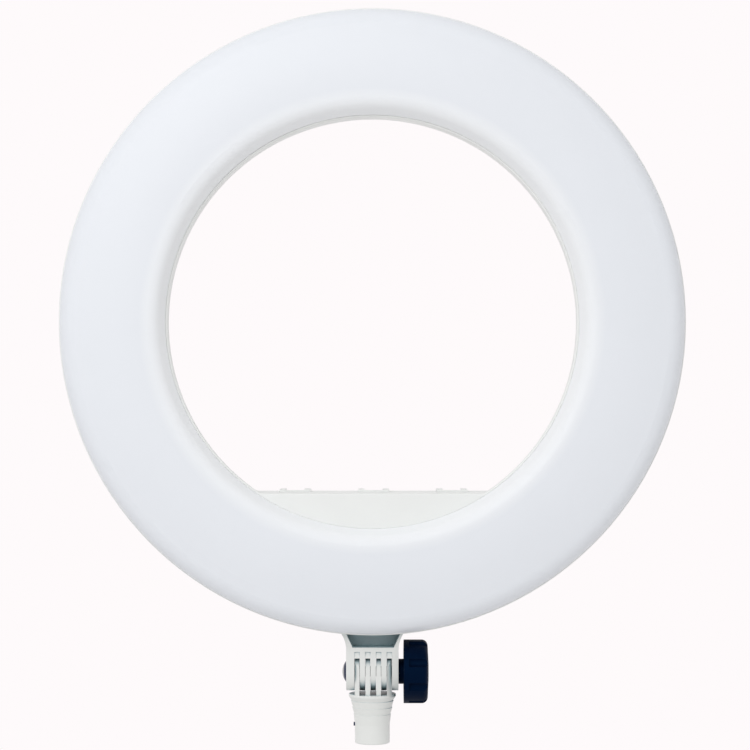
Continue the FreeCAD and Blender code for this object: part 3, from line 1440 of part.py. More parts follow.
def make_power():
    x = dim.switch_shift
    z = -switch_drop
    half_w = dim.switch_width / 2
    half_h = dim.switch_height / 2
    frame = dim.switch_frame
    case = new_body("power_switch", RING)
    pad(case, "case", "XZ", back - dim.switch_depth, back,
        [rectangle(x - half_w, z - half_h, x + half_w, z + half_h)])
    pad(case, "frame", "XZ", back, back + frame,
        [rectangle(x - half_w - frame, z - half_h - frame, x + half_w + frame,
                   z + half_h + frame)])
    gap = dim.rocker_gap
    rock_w = dim.rocker_width / 2
    rock_h = dim.rocker_height / 2
    pocket(case, "well", "XZ", back + frame, back + frame - dim.switch_well,
           [rectangle(x - rock_w - gap, z - rock_h - gap, x + rock_w + gap, z + rock_h + gap)])
    pin = back + frame - dim.rocker_pin_drop
    pin_end = rock_h + gap + dim.rocker_pin_reach
    hole_end = pin_end + dim.rocker_pin_end_gap
    pocket(case, "pin_holes", "XY", z - hole_end, z + hole_end,
           [circle(x, pin, dim.rocker_pin + dim.rocker_pin_gap)])
    spread = dim.switch_tab_spread
    tab_u = dim.switch_tab_width / 2
    tab_v = dim.switch_tab_wall / 2
    tabs = [rectangle(x + side * spread - tab_u, z - tab_v, x + side * spread + tab_u, z + tab_v)
            for side in (-1, 1)]
    foot = back - dim.switch_depth
    pad(case, "tabs", "XZ", foot, foot - dim.switch_tab, tabs)
    make_rocker(x, z, pin, pin_end)
    inlet = new_body("power_inlet", RING)
    x = -dim.inlet_shift
    pad(inlet, "barrel", "XZ", back - dim.inlet_depth, back,
        [circle(x, z, dim.inlet_body_radius)])
    pad(inlet, "flange", "XZ", back, back + dim.inlet_flange,
        [circle(x, z, dim.inlet_flange_radius)])
    mouth = back + dim.inlet_flange
    pocket(inlet, "plug_hole", "XZ", mouth, mouth - dim.inlet_bore_depth,
           [circle(x, z, dim.inlet_bore)])
    pad(inlet, "pin", "XZ", mouth - dim.inlet_bore_depth, mouth - dim.inlet_pin_sunk,
        [circle(x, z, dim.inlet_pin)])
    nut = new_body("inlet_nut", RING)
    pad(nut, "nut", "XZ", back_inside - dim.inlet_nut, back_inside,
        [hexagon(x, z, dim.inlet_flange_radius),
         circle(x, z, dim.inlet_body_radius + dim.thread_gap)])


def make_rocker(x, z, pin, pin_end):
    """A rocker on two pins, with two faces that meet in a shallow V, resting in its off position."""
    body = new_body("power_rocker")
    turn = FreeCAD.Rotation(FreeCAD.Vector(0, 0, 1), number(dim.rocker_throw))
    place = FreeCAD.Vector(number(x), number(pin), number(RING + z))
    body.Placement = FreeCAD.Placement(place, turn)
    for axis, size in (("x", x), ("y", pin), ("z", RING + z)):
        body.setExpression(f"Placement.Base.{axis}", size.formula)
    half_w = dim.rocker_width / 2
    half_h = dim.rocker_height / 2
    foot = -dim.rocker_foot
    section = [
        at(dim.rocker_taper - half_w, foot),
        at(half_w - dim.rocker_taper, foot),
        at(half_w, dim.rocker_pin_drop + dim.rocker_proud),
        at(0, dim.rocker_pin_drop + dim.rocker_valley),
        at(-half_w, dim.rocker_pin_drop + dim.rocker_proud),
    ]
    pad(body, "rocker", "XY", -half_h, half_h, [section])
    pad(body, "pins", "XY", -pin_end, pin_end, [circle(0, 0, dim.rocker_pin)])


# Bracket that carries the ring, and the fasteners that hold it


def finger_places():
    """Middles of the four slots, which hold the socket's fingers."""
    return [dim.finger_shift + (step - 1.5) * dim.finger_step for step in range(4)]


def make_yoke():
    body = new_body("yoke", RING)
    axis = -pivot_drop
    radius = dim.finger_radius
    half = dim.yoke_half
    saddle = dim.ring_radius + dim.saddle_gap
    top = dim.saddle_rise - dim.ring_radius
    side_view = [
        arc_to(radius, axis, radius),
        at(radius, top),
        at(-radius, top),
        at(-radius, axis),
        arc_to(0, axis - radius, radius),
    ]
    pad(body, "fingers", "YZ", -half, half, [side_view])
    flare = dim.yoke_flare
    low = -(dim.ring_radius + dim.yoke_flare_drop)
    front_view = [
        arc_to(-half, low, -dim.yoke_flare_round),
        at(half, low),
        arc_to(flare, top, -dim.yoke_flare_round),
        at(-flare, top),
    ]
    pad(body, "flare", "XZ", -radius, radius, [front_view])
    pocket(body, "saddle", "XZ", -radius - PAST, radius + PAST, [circle(0, 0, saddle)])
    shift = dim.finger_shift
    floor = -(dim.ring_radius + dim.pocket_drop)
    floor_half = dim.pocket_floor_half
    top_half = dim.pocket_top_half
    recess = [
        at(shift - floor_half, floor),
        at(shift + floor_half, floor),
        at(shift + top_half, -dim.ring_radius),
        at(shift + top_half, top),
        at(shift - top_half, top),
        at(shift - top_half, -dim.ring_radius),
    ]
    pocket(body, "recess", "XZ", -radius, -radius + dim.pocket_depth, [recess])
    cut_slots(body, axis)
    bolt = dim.bolt_radius + dim.bolt_gap
    pocket(body, "bolt_hole", "YZ", -half, half, [circle(0, axis, bolt)])
    neck = dim.bolt_radius + dim.bolt_gap
    pocket(body, "neck_hole", "YZ", -half, -half + dim.bolt_neck_length + dim.bolt_gap,
           [rectangle(-neck, axis - neck, neck, axis + neck)])
    pocket(body, "washer_seat", "YZ", half, half - dim.washer_sunk,
           [circle(0, axis, dim.washer_radius + dim.bolt_gap)])
    holes = [circle(x, dim.yoke_screw_depth, dim.m4_radius + dim.thread_gap)
             for x in yoke_screw_places()]
    end = -bridge_top + dim.plate_wall - dim.yoke_screw_length - dim.screw_room
    pocket(body, "screw_holes", "XY", top, end, holes)


def cut_slots(body, axis):
    """Slots for the socket's fingers: round inside, closed at the face below a sloping one."""
    reach = dim.finger_radius + PAST
    high = axis + dim.slot_top
    curve = dim.finger_radius + dim.slot_gap
    inner = root(curve * curve - dim.slot_top * dim.slot_top)
    low = axis - reach
    outline = [
        at(reach, low),
        at(reach, high),
        at(inner, high),
        arc_to(0, axis + curve, curve),
        arc_to(-inner, high, curve),
        at(-reach, high),
        at(-reach, low),
    ]
    half = dim.slot_width / 2
    face = -dim.finger_radius
    step_top = high + dim.slot_face_rise
    step_outline = [
        at(-reach, high),
        at(face, high),
        at(face + dim.slot_face_step, step_top),
        at(-reach, step_top),
    ]
    for index, x in enumerate(finger_places()):
        pocket(body, f"slot_{index}", "YZ", x - half, x + half, [outline])
        pocket(body, f"slot_face_{index}", "YZ", x - half, x + half, [step_outline])


def make_yoke_plate():
    body = new_body("yoke_plate", RING)
    low = -bridge_top
    side = dim.bridge_depth - dim.plate_margin
    pad(body, "plate", "XY", low, low + dim.plate_wall,
        [rectangle(-dim.plate_half, dim.plate_inset, dim.plate_half, side)]
        + [circle(x, dim.yoke_screw_depth, dim.m4_radius + dim.screw_gap)
           for x in yoke_screw_places()])


def make_pivot():
    bolt = new_body("pivot_bolt", PIVOT)
    face = -dim.yoke_half
    head = dim.bolt_head_radius
    rise = dim.bolt_head_height
    dome = (head * head + rise * rise) / (2 * rise)
    section = [
        at(face - rise, 0),
        arc_to(face, head, -dome),
        at(face, dim.bolt_radius),
        at(bolt_end - dim.bolt_point, dim.bolt_radius),
        at(bolt_end, dim.bolt_radius - dim.bolt_point),
        at(bolt_end, 0),
    ]
    revolve(bolt, "turned", "XY", "X", [section])
    neck = dim.bolt_radius
    pad(bolt, "neck", "YZ", face, face + dim.bolt_neck_length,
        [rectangle(-neck, -neck, neck, neck)])
    washer = new_body("knob_washer", PIVOT)
    seat_face = dim.yoke_half - dim.washer_sunk
    pad(washer, "disc", "YZ", seat_face, seat_face + dim.washer_wall,
        [circle(0, 0, dim.washer_radius), circle(0, 0, dim.bolt_radius + dim.bolt_gap)])


def make_knob():
    body = new_body("tilt_knob", PIVOT)
    near = knob_near
    flange = near + dim.knob_hub_length
    end = flange + dim.knob_length
    section = [
        at(near, 0),
        at(near, dim.knob_hub_radius),
        at(flange, dim.knob_hub_radius),
        at(flange, dim.knob_radius),
        rounded(end - dim.knob_crown, dim.knob_radius, dim.knob_round),
        at(end, dim.knob_flat),
        at(end, 0),
    ]
    revolve(body, "turned", "XY", "X", [section])
    reach = dim.knob_radius - dim.knob_groove_depth + dim.knob_groove
    count = int(number(dim.knob_lobes))
    loops = []
    for index in range(count):
        angle = (index + 0.5) * 360 / count
        loops.append(circle(reach * cosine(angle), reach * sine(angle), dim.knob_groove))
    pocket(body, "grooves", "YZ", end + PAST, flange + dim.knob_flange, loops)
    bore_end = bolt_end + dim.bolt_room
    bolt = dim.bolt_radius + dim.bolt_gap
    pocket(body, "bore", "YZ", near, bore_end, [circle(0, 0, bolt)])
    pocket(body, "nut_pocket", "YZ", nut_start - TOUCH, nut_end + TOUCH,
           [hexagon(0, 0, dim.nut_half + dim.nut_gap)])
    nut = new_body("knob_nut", PIVOT)
    pad(nut, "nut", "YZ", nut_start, nut_end,
        [hexagon(0, 0, dim.nut_half), circle(0, 0, dim.bolt_radius + dim.thread_gap * 2)])


# Socket on the stand, with its lock screw


SOCKET_LEDGES = 3


def make_socket():
    body = new_body("stand_socket")
    top = shoulder_level
    neck = dim.shoulder_top_radius
    radius = dim.socket_radius
    ledges = []
    for index in range(SOCKET_LEDGES):
        level = top - dim.ledge_drop - dim.ledge_step * (SOCKET_LEDGES - 1 - index)
        wide = radius + dim.ledge_growth * (index + 1)
        ledges.append(at(wide, level))
        ledges.append(at(wide - dim.ledge_size, level + dim.ledge_slope))
    section = [
        at(dim.socket_bore, 0),
        rounded(radius, 0, dim.socket_edge),
        at(radius, dim.socket_straight),
        *ledges,
        at(neck, top - dim.shoulder_height),
        rounded(neck, top, dim.shoulder_edge),
        at(0, top),
        at(0, dim.socket_bore_depth),
        at(dim.socket_bore, dim.socket_bore_depth),
    ]
    revolve(body, "turned", "XZ", "Z", [section])
    add_fingers(body, top)
    hole = dim.insert_radius + dim.thread_gap
    pocket(body, "lock_hole", "YZ", -radius - PAST, 0, [circle(0, dim.lock_height, hole)])


def add_fingers(body, top):
    axis = PIVOT
    radius = dim.finger_radius
    half = dim.slot_width / 2 - dim.finger_gap
    root_level = top - dim.finger_root
    outline = [
        at(radius, root_level),
        at(radius, axis),
        arc_to(0, axis + radius, radius),
        arc_to(-radius, axis, radius),
        at(-radius, root_level),
    ]
    for index, x in enumerate(finger_places()):
        pad(body, f"finger_{index}", "YZ", x - half, x + half, [outline])
    trim = [circle(0, 0, dim.shoulder_top_radius * 2), circle(0, 0, dim.shoulder_top_radius)]
    pocket(body, "finger_trim", "XY", root_level, axis + radius + PAST, trim)
    bolt = dim.bolt_radius + dim.bolt_gap
    reach = dim.shoulder_top_radius + PAST
    pocket(body, "bolt_hole", "YZ", -reach, reach, [circle(0, axis, bolt)])


def make_lock():
    insert = new_body("lock_insert")
    height = dim.lock_height
    outer = -dim.socket_radius + dim.insert_sunk
    inner = -dim.socket_bore - dim.insert_sunk
    pad(insert, "sleeve", "YZ", outer, inner,
        [circle(0, height, dim.insert_radius),
         circle(0, height, dim.lock_radius + dim.thread_gap)])
    screw = new_body("lock_screw")
    start = -dim.socket_radius - dim.lock_proud
    pad(screw, "thread", "YZ", start, -dim.socket_bore - dim.lock_tip_gap,
        [circle(0, height, dim.lock_radius)])
    pocket(screw, "drive", "YZ", start, start + dim.lock_radius,
           [hexagon(0, height, dim.lock_socket)])


# Wires inside the ring


def bent_wire(points, bend, radius=dim.lead_radius):
    """A round wire along straight runs that join in arcs."""
    bend = number(bend)
    radius = number(radius)
    points = [FreeCAD.Vector(*[number(value) for value in point]) for point in points]
    edges = []
    here = points[0]
    for before, corner, after in zip(points, points[1:], points[2:]):
        back_way = (before - corner).normalize()
        ahead = (after - corner).normalize()
        half = back_way.getAngle(ahead) / 2
        reach = bend / math.tan(half)
        first = corner + back_way * reach
        last = corner + ahead * reach
        axis = (back_way + ahead).normalize()
        near = corner + axis * (bend / math.sin(half) - bend)
        edges.append(Part.LineSegment(here, first).toShape())
        edges.append(Part.Arc(first, near, last).toShape())
        here = last
    edges.append(Part.LineSegment(here, points[-1]).toShape())
    path = Part.Wire(edges)
    start = (points[1] - points[0]).normalize()
    section = Part.Wire(Part.makeCircle(radius, points[0], start))
    return path.makePipeShell([section], True, True)


def fanned(spot, direction, index):
    """One of three places side by side."""
    shift = index * dim.lead_gap
    return spot[0] + direction[0] * shift, spot[1] + direction[1] * shift


def make_leads():
    """Wires from the driver to the light boards, the control board, the inlet and the switch."""
    face = deck_back + dim.driver_post + dim.board_wall
    foot = face + dim.header_floor
    level = face + dim.header_height + dim.lead_rise
    turn = dim.driver_turn
    along = (sine(turn), cosine(turn))
    light_from, control_from, power_from = [turned_spot(u, reach) for u, reach in header_places()]
    hole = polar(lead_hole_ring, dim.lead_hole_angle)
    upward = (0.52, 0.85)
    light = []
    control = []
    low = deck_back + 4.6
    high = level + dim.lead_rise
    board = control_board_back - dim.board_wall - dim.header_floor
    drop_x = -control_board_half - 10
    drop_z = -control_header_drop + 6
    for index in (-1, 0, 1):
        u, v = fanned(light_from, along, index)
        hole_u, hole_v = fanned(hole, upward, index)
        light.append(bent_wire([
            (u, foot, v),
            (u, level, v),
            (hole_u, level, hole_v),
            (hole_u, deck_front, hole_v),
        ], dim.light_lead_bend))
        u, v = fanned(control_from, along, index)
        down_u, down_v = fanned((drop_x, drop_z), upward, index)
        end_v = -control_header_drop + index * dim.lead_gap
        control.append(bent_wire([
            (u, foot, v),
            (u, high, v),
            (down_u, high, down_v),
            (down_u, low, down_v),
            (0, low, end_v),
            (0, board, end_v),
        ], dim.control_lead_bend))
    add_leads("light_leads", light)
    add_leads("control_leads", control)
    add_leads("power_leads", power_wires(power_from, along, foot, level))


def power_wires(start, along, foot, level):
    """Supply wires: driver to inlet, driver to switch, inlet to switch."""
    z = -switch_drop
    inlet_x = -dim.inlet_shift
    inlet_end = back - dim.inlet_depth
    tab_end = back - dim.switch_depth - dim.switch_tab
    near_tab = dim.switch_shift - dim.switch_tab_spread
    far_tab = dim.switch_shift + dim.switch_tab_spread
    drop = (-control_board_half - 17, z + 11)
    shallow = tab_end - 3.5
    deep = inlet_end - 7
    wires = []
    ends = ((1, (inlet_x - 2, inlet_end), deep), (-1, (near_tab, tab_end), shallow))
    for index, (end_x, end_depth), lowest in ends:
        u, v = fanned(start, along, index)
        down_u, down_v = fanned(drop, (0.5, 0.85), index)
        wires.append(bent_wire([
            (u, foot, v),
            (u, level, v),
            (down_u, level, down_v),
            (down_u, lowest, down_v),
            (end_x, lowest, z),
            (end_x, end_depth, z),
        ], dim.power_lead_bend))
    wires.append(bent_wire([
        (inlet_x + 2, inlet_end, z),
        (inlet_x + 2, shallow, z),
        (inlet_x + 2, shallow, z - 6),
        (far_tab, shallow, z - 6),
        (far_tab, shallow, z),
        (far_tab, tab_end, z),
    ], dim.power_lead_bend))
    return wires


def make_jumpers():
    """Bare staples that join neighbouring light boards between the rows of chips."""
    face = deck_front - dim.board_wall
    reach = dim.jumper_reach
    staple = bent_wire([
        (0, 0, -reach),
        (0, -dim.jumper_rise, -reach),
        (0, -dim.jumper_rise, reach),
        (0, 0, reach),
    ], dim.jumper_bend, dim.jumper_radius)
    spots = []
    for angle in BOARD_ANGLES:
        for row in [index + 0.5 for index in range(LED_ROWS - 1)]:
            radius = led_row(row)
            spots.append((*polar(radius, angle, face), ring_turn(angle)))
    group("board_jumpers", staple, spots)


def add_leads(label, solids):
    feature = doc.addObject("Part::Feature", label)
    feature.Label = label
    feature.Shape = Part.makeCompound(solids)
    place_body(feature, RING, 0)
    NODES.append(feature)


def check_and_write():
    doc.recompute()
    for item in doc.Objects:
        if any(word in item.State for word in ("Invalid", "Error")):
            raise RuntimeError(f"{item.Name} is {item.State}")
    for node in NODES:
        shape = node.Shape
        if shape.isNull() or not shape.isValid() or not shape.Solids:
            raise RuntimeError(f"{node.Label} has no valid solid")
        shape.exportStep(f"parts/{node.Label}.step")
        print(f"{node.Label}: {len(shape.Solids)} solids, {shape.Volume:.0f} mm3")


make_front_diffuser()
make_front_housing()
make_rear_housing()
make_screws()
for shoe_label, shoe_x in zip(("left", "centre", "right"), shoe_places()):
    make_cold_shoe(f"cold_shoe_{shoe_label}", shoe_x)
make_led_boards()
make_leds()
make_driver()
make_controls()
make_power()
make_yoke()
make_yoke_plate()
make_pivot()
make_knob()
make_socket()
make_lock()
make_leads()
make_jumpers()
check_and_write()
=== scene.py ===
import json
import math

import bmesh
import bpy
from mathutils import Matrix, Vector


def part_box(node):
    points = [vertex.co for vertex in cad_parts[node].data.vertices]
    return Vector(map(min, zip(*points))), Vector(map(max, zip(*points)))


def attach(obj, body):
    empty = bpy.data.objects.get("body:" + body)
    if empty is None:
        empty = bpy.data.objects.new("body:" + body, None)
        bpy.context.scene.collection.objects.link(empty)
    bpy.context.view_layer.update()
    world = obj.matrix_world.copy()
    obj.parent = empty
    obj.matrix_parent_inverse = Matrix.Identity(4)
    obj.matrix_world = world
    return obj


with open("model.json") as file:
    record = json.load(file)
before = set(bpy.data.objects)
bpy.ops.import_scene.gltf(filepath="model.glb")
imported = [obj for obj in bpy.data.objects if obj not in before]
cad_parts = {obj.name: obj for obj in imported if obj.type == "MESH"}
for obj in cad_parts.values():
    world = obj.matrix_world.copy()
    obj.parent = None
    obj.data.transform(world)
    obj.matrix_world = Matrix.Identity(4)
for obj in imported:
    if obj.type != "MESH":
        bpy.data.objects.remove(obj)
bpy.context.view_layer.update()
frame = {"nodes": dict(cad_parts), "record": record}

MM = 0.001

# Height of the ring's centre above the socket's mouth
ring_low, ring_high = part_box("front_diffuser")
RING = (ring_low[2] + ring_high[2]) / 2


# Node trees

class Nodes:
    """A node tree that starts empty. Its calls take and return sockets, apart from add."""

    def __init__(self, tree):
        self.tree = tree
        tree.nodes.clear()

    def add(self, kind, **settings):
        node = self.tree.nodes.new(kind)
        for key, value in settings.items():
            setattr(node, key, value)
        return node

    def link(self, source, target):
        self.tree.links.new(source, target)

    def maths(self, operation, first, second):
        node = self.add("ShaderNodeMath", operation=operation)
        self.link(first, node.inputs[0])
        self.link(second, node.inputs[1])
        return node.outputs["Value"]

    def vector_maths(self, operation, first, second=None, output="Vector"):
        """The second operand is a socket, a plain vector or nothing."""
        node = self.add("ShaderNodeVectorMath", operation=operation)
        self.link(first, node.inputs[0])
        if isinstance(second, tuple):
            node.inputs[1].default_value = second
        elif second is not None:
            self.link(second, node.inputs[1])
        return node.outputs[output]

    def span(self, source, low, high, from_low=0.3, from_high=0.7, **settings):
        """Maps the values between from_low and from_high to those between low and high."""
        node = self.add("ShaderNodeMapRange", **settings)
        node.inputs["From Min"].default_value = from_low
        node.inputs["From Max"].default_value = from_high
        node.inputs["To Min"].default_value = low
        node.inputs["To Max"].default_value = high
        self.link(source, node.inputs["Value"])
        return node.outputs["Result"]


LOOKS = {}


class Material(Nodes):
    """A material with one shader, its patterns placed by object coordinates in metres."""

    def __init__(self, name):
        self.name = name
        self.material = bpy.data.materials.new(name)
        self.material.use_nodes = True
        super().__init__(self.material.node_tree)
        self.output = self.add("ShaderNodeOutputMaterial")
        self.shader = self.add("ShaderNodeBsdfPrincipled")
        self.link(self.shader.outputs["BSDF"], self.output.inputs["Surface"])
        self.place = self.add("ShaderNodeTexCoord").outputs["Object"]

    def stretched(self, scale=(1, 1, 1), turn=(0, 0, 0)):
        node = self.add("ShaderNodeMapping")
        node.inputs["Scale"].default_value = scale
        node.inputs["Rotation"].default_value = turn
        self.link(self.place, node.inputs["Vector"])
        return node.outputs["Vector"]

    def noise(self, scale, detail, rough=0.5, stretch=(1, 1, 1)):
        node = self.add("ShaderNodeTexNoise")
        node.inputs["Scale"].default_value = scale
        node.inputs["Detail"].default_value = detail
        node.inputs["Roughness"].default_value = rough
        self.link(self.stretched(stretch), node.inputs["Vector"])
        return node.outputs["Fac"]

    def ramp(self, source, low_colour, high_colour, low=0.3, high=0.7):
        """A colour that runs from one to another as the source goes from low to high."""
        node = self.add("ShaderNodeValToRGB")
        stops = ((low, low_colour), (high, high_colour))
        for element, (position, colour) in zip(node.color_ramp.elements, stops):
            element.position = position
            element.color = (*colour, 1)
        self.link(source, node.inputs["Fac"])
        return node.outputs["Color"]

    def blend(self, factor, below, colour):
        """Lays a plain colour over another by a factor."""
        node = self.add("ShaderNodeMix", data_type="RGBA")
        self.link(factor, node.inputs["Factor"])
        self.link(below, node.inputs["A"])
        node.inputs["B"].default_value = (*colour, 1)
        return node.outputs["Result"]

    def bump(self, height, strength, distance, below=None):
        node = self.add("ShaderNodeBump")
        node.inputs["Strength"].default_value = strength
        node.inputs["Distance"].default_value = distance
        self.link(height, node.inputs["Height"])
        if below is not None:
            self.link(below, node.inputs["Normal"])
        return node.outputs["Normal"]

    def soft_edges(self, radius):
        """The surface's normal, with sharp edges rounded off."""
        node = self.add("ShaderNodeBevel", samples=6)
        node.inputs["Radius"].default_value = radius
        return node.outputs["Normal"]

    def edge_wear(self, soft):
        """A broken mask along the edges, where handling rubs a surface."""
        flat = self.add("ShaderNodeNewGeometry").outputs["Normal"]
        agreement = self.vector_maths("DOT_PRODUCT", soft, flat, "Value")
        edges = self.span(agreement, 0.8, 0.0, 0.80, 0.985)
        patches = self.span(self.noise(260, 4, 0.6), 0.1, 1.0, 0.4, 0.62)
        return self.maths("MULTIPLY", edges, patches)

    def hollows(self, reach, low, high):
        """How deep in a hollow a place lies: 1 in the depth, 0 in the open."""
        node = self.add("ShaderNodeAmbientOcclusion", samples=8)
        node.inputs["Distance"].default_value = reach
        return self.span(node.outputs["AO"], 1.0, 0.0, low, high)

    def ring_radius(self):
        """Distance from the ring's axis."""
        centred = self.vector_maths("SUBTRACT", self.place, (0, 0, RING))
        level = self.vector_maths("MULTIPLY", centred, (1, 0, 1))
        return self.vector_maths("LENGTH", level, output="Value")

    def finish(self, **values):
        """Sets or links the shader's entries and keeps the material among the looks."""
        for key, value in values.items():
            entry = self.shader.inputs[key.replace("_", " ")]
            if isinstance(value, bpy.types.NodeSocket):
                self.link(value, entry)
            else:
                entry.default_value = value
        LOOKS[self.name] = self.material


def shade(colour, factor):
    return tuple(min(1.0, part * factor) for part in colour)


# Kinds of material

def moulded(name, colour, rough=0.42, grain=0.00004, grain_scale=900, spread=0.025,
            edge=0.0003, worn=None, hollow_shade=(), **extra):
    """Moulded plastic: faint clouds, fine grain, soft edges, wear on them, painted shade in
    hollows.

    Each layer of painted shade is its reach, the two levels of openness that it runs between, and
    its colour.
    """
    made = Material(name)
    cloud = made.noise(18, 4, 0.6)
    tint = made.ramp(cloud, shade(colour, 1 - spread), shade(colour, 1 + spread / 3))
    soft = made.soft_edges(edge)
    if worn is not None:
        tint = made.blend(made.edge_wear(soft), tint, worn)
    # Painted shade: each layer darkens the colour where the surface lies deep in a hollow
    for reach, low, high, dark in hollow_shade:
        tint = made.blend(made.hollows(reach, low, high), tint, dark)
    waves = made.bump(made.noise(60, 1, 0.4), 0.15, 0.0001, soft)
    made.finish(
        Base_Color=tint,
        Roughness=made.span(made.noise(45, 3), rough - 0.05, rough + 0.06),
        Normal=made.bump(made.noise(grain_scale, 2), 0.5, grain, waves),
        **extra,
    )


# Half the width over which the painted reflection on a bolt's head fades into its plating
REFLECTION_FADE = 0.4 * MM


def metal(name, colour, rough=0.3, stretch=(1, 1, 30), scale=120, spread=0.12, painted_reflection=None):
    """Plated or drawn metal with lines along one direction, and a painted reflection that makes it
    lighter left of a given place.
    """
    made = Material(name)
    lines = made.noise(scale, 4, 0.65, stretch)
    tint = made.ramp(lines, shade(colour, 1 - spread), shade(colour, 1 + spread))
    # Painted reflection: the colour is made lighter left of the given place
    if painted_reflection is not None:
        edge, reflection_colour = painted_reflection
        parts = made.add("ShaderNodeSeparateXYZ")
        made.link(made.place, parts.inputs["Vector"])
        reflection_share = made.span(parts.outputs["X"], 1.0, 0.0, edge - REFLECTION_FADE, edge + REFLECTION_FADE)
        tint = made.blend(reflection_share, tint, reflection_colour)
    made.finish(
        Base_Color=tint,
        Roughness=made.span(lines, rough - 0.08, rough + 0.1),
        Normal=made.bump(lines, 0.25, 0.00003),
        Metallic=1.0,
    )


def board(name, colour, trace):
    """A circuit board: solder mask with slightly lighter traces under it."""
    made = Material(name)
    cells = made.add("ShaderNodeTexBrick", offset=0.37)
    cells.inputs["Color1"].default_value = (*colour, 1)
    cells.inputs["Color2"].default_value = (*shade(colour, 0.9), 1)
    cells.inputs["Mortar"].default_value = (*trace, 1)
    cells.inputs["Scale"].default_value = 260
    cells.inputs["Mortar Size"].default_value = 0.012
    made.link(made.stretched(turn=(math.pi / 2, 0, 0)), cells.inputs["Vector"])
    cloud = made.span(made.noise(90, 3), 0.0, 0.35, 0.35, 0.7)
    made.finish(
        Base_Color=made.blend(cloud, cells.outputs["Color"], shade(colour, 0.8)),
        Normal=made.bump(cells.outputs["Fac"], 0.3, 0.00003),
        Roughness=0.32,
    )


def clear_pane(name):
    """A tinted window with faint smears in its gloss."""
    made = Material(name)
    smear = made.noise(70, 3, 0.5, (1, 1, 3))
    made.finish(
        Base_Color=made.ramp(smear, (0.022, 0.026, 0.028), (0.034, 0.039, 0.041), 0.2, 0.8),
        Roughness=made.span(smear, 0.03, 0.14, 0.35, 0.7),
        Alpha=0.4,
        Specular_IOR_Level=0.5,
    )


def phosphor(name, colour):
    """The yellow gel of a light chip inside its white case."""
    made = Material(name)
    grains = made.noise(3000, 2)
    made.finish(
        Base_Color=made.ramp(grains, shade(colour, 0.85), colour),
        Roughness=0.35,
        Subsurface_Weight=0.1,
    )


# Radii between which the painted light on the diffuser's inner slope fades out, going outward
# across the crest
SLOPE_LIGHT_RADII = (0.163, 0.177)


def frosted(name, colour, painted_light_colour):
    """Frosted diffuser: a fine matt tooth, soft depth, faint mottling and painted light that makes
    its inner slope paler.
    """
    made = Material(name)
    cloud = made.noise(9, 3, 0.55)
    tint = made.ramp(cloud, shade(colour, 0.985), colour)
    # Painted light: the inner slope and the crest are made paler, fading out going outward
    slope = made.span(made.ring_radius(), 1.0, 0.0, *SLOPE_LIGHT_RADII)
    mottling = made.bump(made.noise(330, 2), 0.25, 0.00006)
    made.finish(
        Base_Color=made.blend(slope, tint, painted_light_colour),
        Roughness=made.span(cloud, 0.38, 0.46),
        Normal=made.bump(made.noise(1400, 2, 0.6), 0.5, 0.00004, mottling),
        Subsurface_Weight=0.15,
        Subsurface_Radius=(1.0, 1.0, 1.0),
        Subsurface_Scale=0.004,
        Specular_IOR_Level=0.45,
    )


# The materials, named as the record's slots are

# Left of this place the bolt's domed head is painted lighter, a painted reflection
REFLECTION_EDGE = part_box("pivot_bolt")[0][0] + 1.3 * MM

# Painted shade in the knuckle's hollows: a grey-green layer and a darker one, laid on by occlusion
KNUCKLE_PAINTED_SHADE = (
    (0.022, 0.12, 0.70, (0.36, 0.52, 0.57)),
    (0.014, 0.02, 0.30, (0.06, 0.085, 0.085)),
)
BLACK_GRAIN = {"grain_scale": 1200, "spread": 0.1}

# The third colour is the painted light on the diffuser's inner slope and crest
frosted("diffuser_white", (0.845, 0.875, 0.925), (0.945, 0.965, 0.99))
moulded("housing_white", (0.87, 0.885, 0.87), worn=(0.96, 0.96, 0.95))
moulded("knuckle_white", (0.83, 0.845, 0.825), 0.40, 0.00006, worn=(0.90, 0.90, 0.88),
        hollow_shade=KNUCKLE_PAINTED_SHADE)
metal("screw_steel", (0.52, 0.53, 0.55), 0.32, (1, 1, 1), 900)
metal("tinned_wire", (0.72, 0.72, 0.70), 0.28)
metal("bare_aluminium", (0.74, 0.75, 0.76), 0.3, (1, 30, 1))
metal("pot_metal", (0.60, 0.60, 0.57), 0.3, (1, 20, 1))
metal("plate_steel", (0.50, 0.51, 0.53), 0.35, (1, 12, 12))
# The bolt's last entry is its painted reflection: where it starts and its lighter colour
metal("bolt_steel", (0.016, 0.026, 0.07), 0.22, (1, 8, 8), 200,
      painted_reflection=(REFLECTION_EDGE, (0.42, 0.43, 0.43)))
metal("brass", (0.70, 0.50, 0.20), 0.3, (12, 1, 1))
board("board_white", (0.84, 0.85, 0.84), (0.74, 0.76, 0.74))
board("board_green", (0.02, 0.13, 0.06), (0.035, 0.20, 0.095))
phosphor("led_warm", (0.90, 0.60, 0.16))
phosphor("led_cool", (0.92, 0.84, 0.34))
moulded("capacitor_sleeve", (0.02, 0.025, 0.06), 0.25)
moulded("ferrite", (0.06, 0.06, 0.065), 0.6, 0.0001, 700, 0.1)
moulded("chip_black", (0.02, 0.02, 0.022), 0.5)
moulded("header_white", (0.80, 0.78, 0.70), 0.45)
moulded("lead_red", (0.36, 0.02, 0.015), 0.45)
moulded("lead_white", (0.66, 0.65, 0.61), 0.45)
moulded("display_dark", (0.05, 0.065, 0.055), 0.2)
clear_pane("window_clear")
moulded("dial_black", (0.016, 0.016, 0.019), 0.48, 0.00008, worn=(0.07, 0.07, 0.075),
        Specular_IOR_Level=0.35, **BLACK_GRAIN)
moulded("switch_black", (0.015, 0.015, 0.017), 0.4, 0.00005, worn=(0.05, 0.05, 0.055),
        Specular_IOR_Level=0.35, **BLACK_GRAIN)
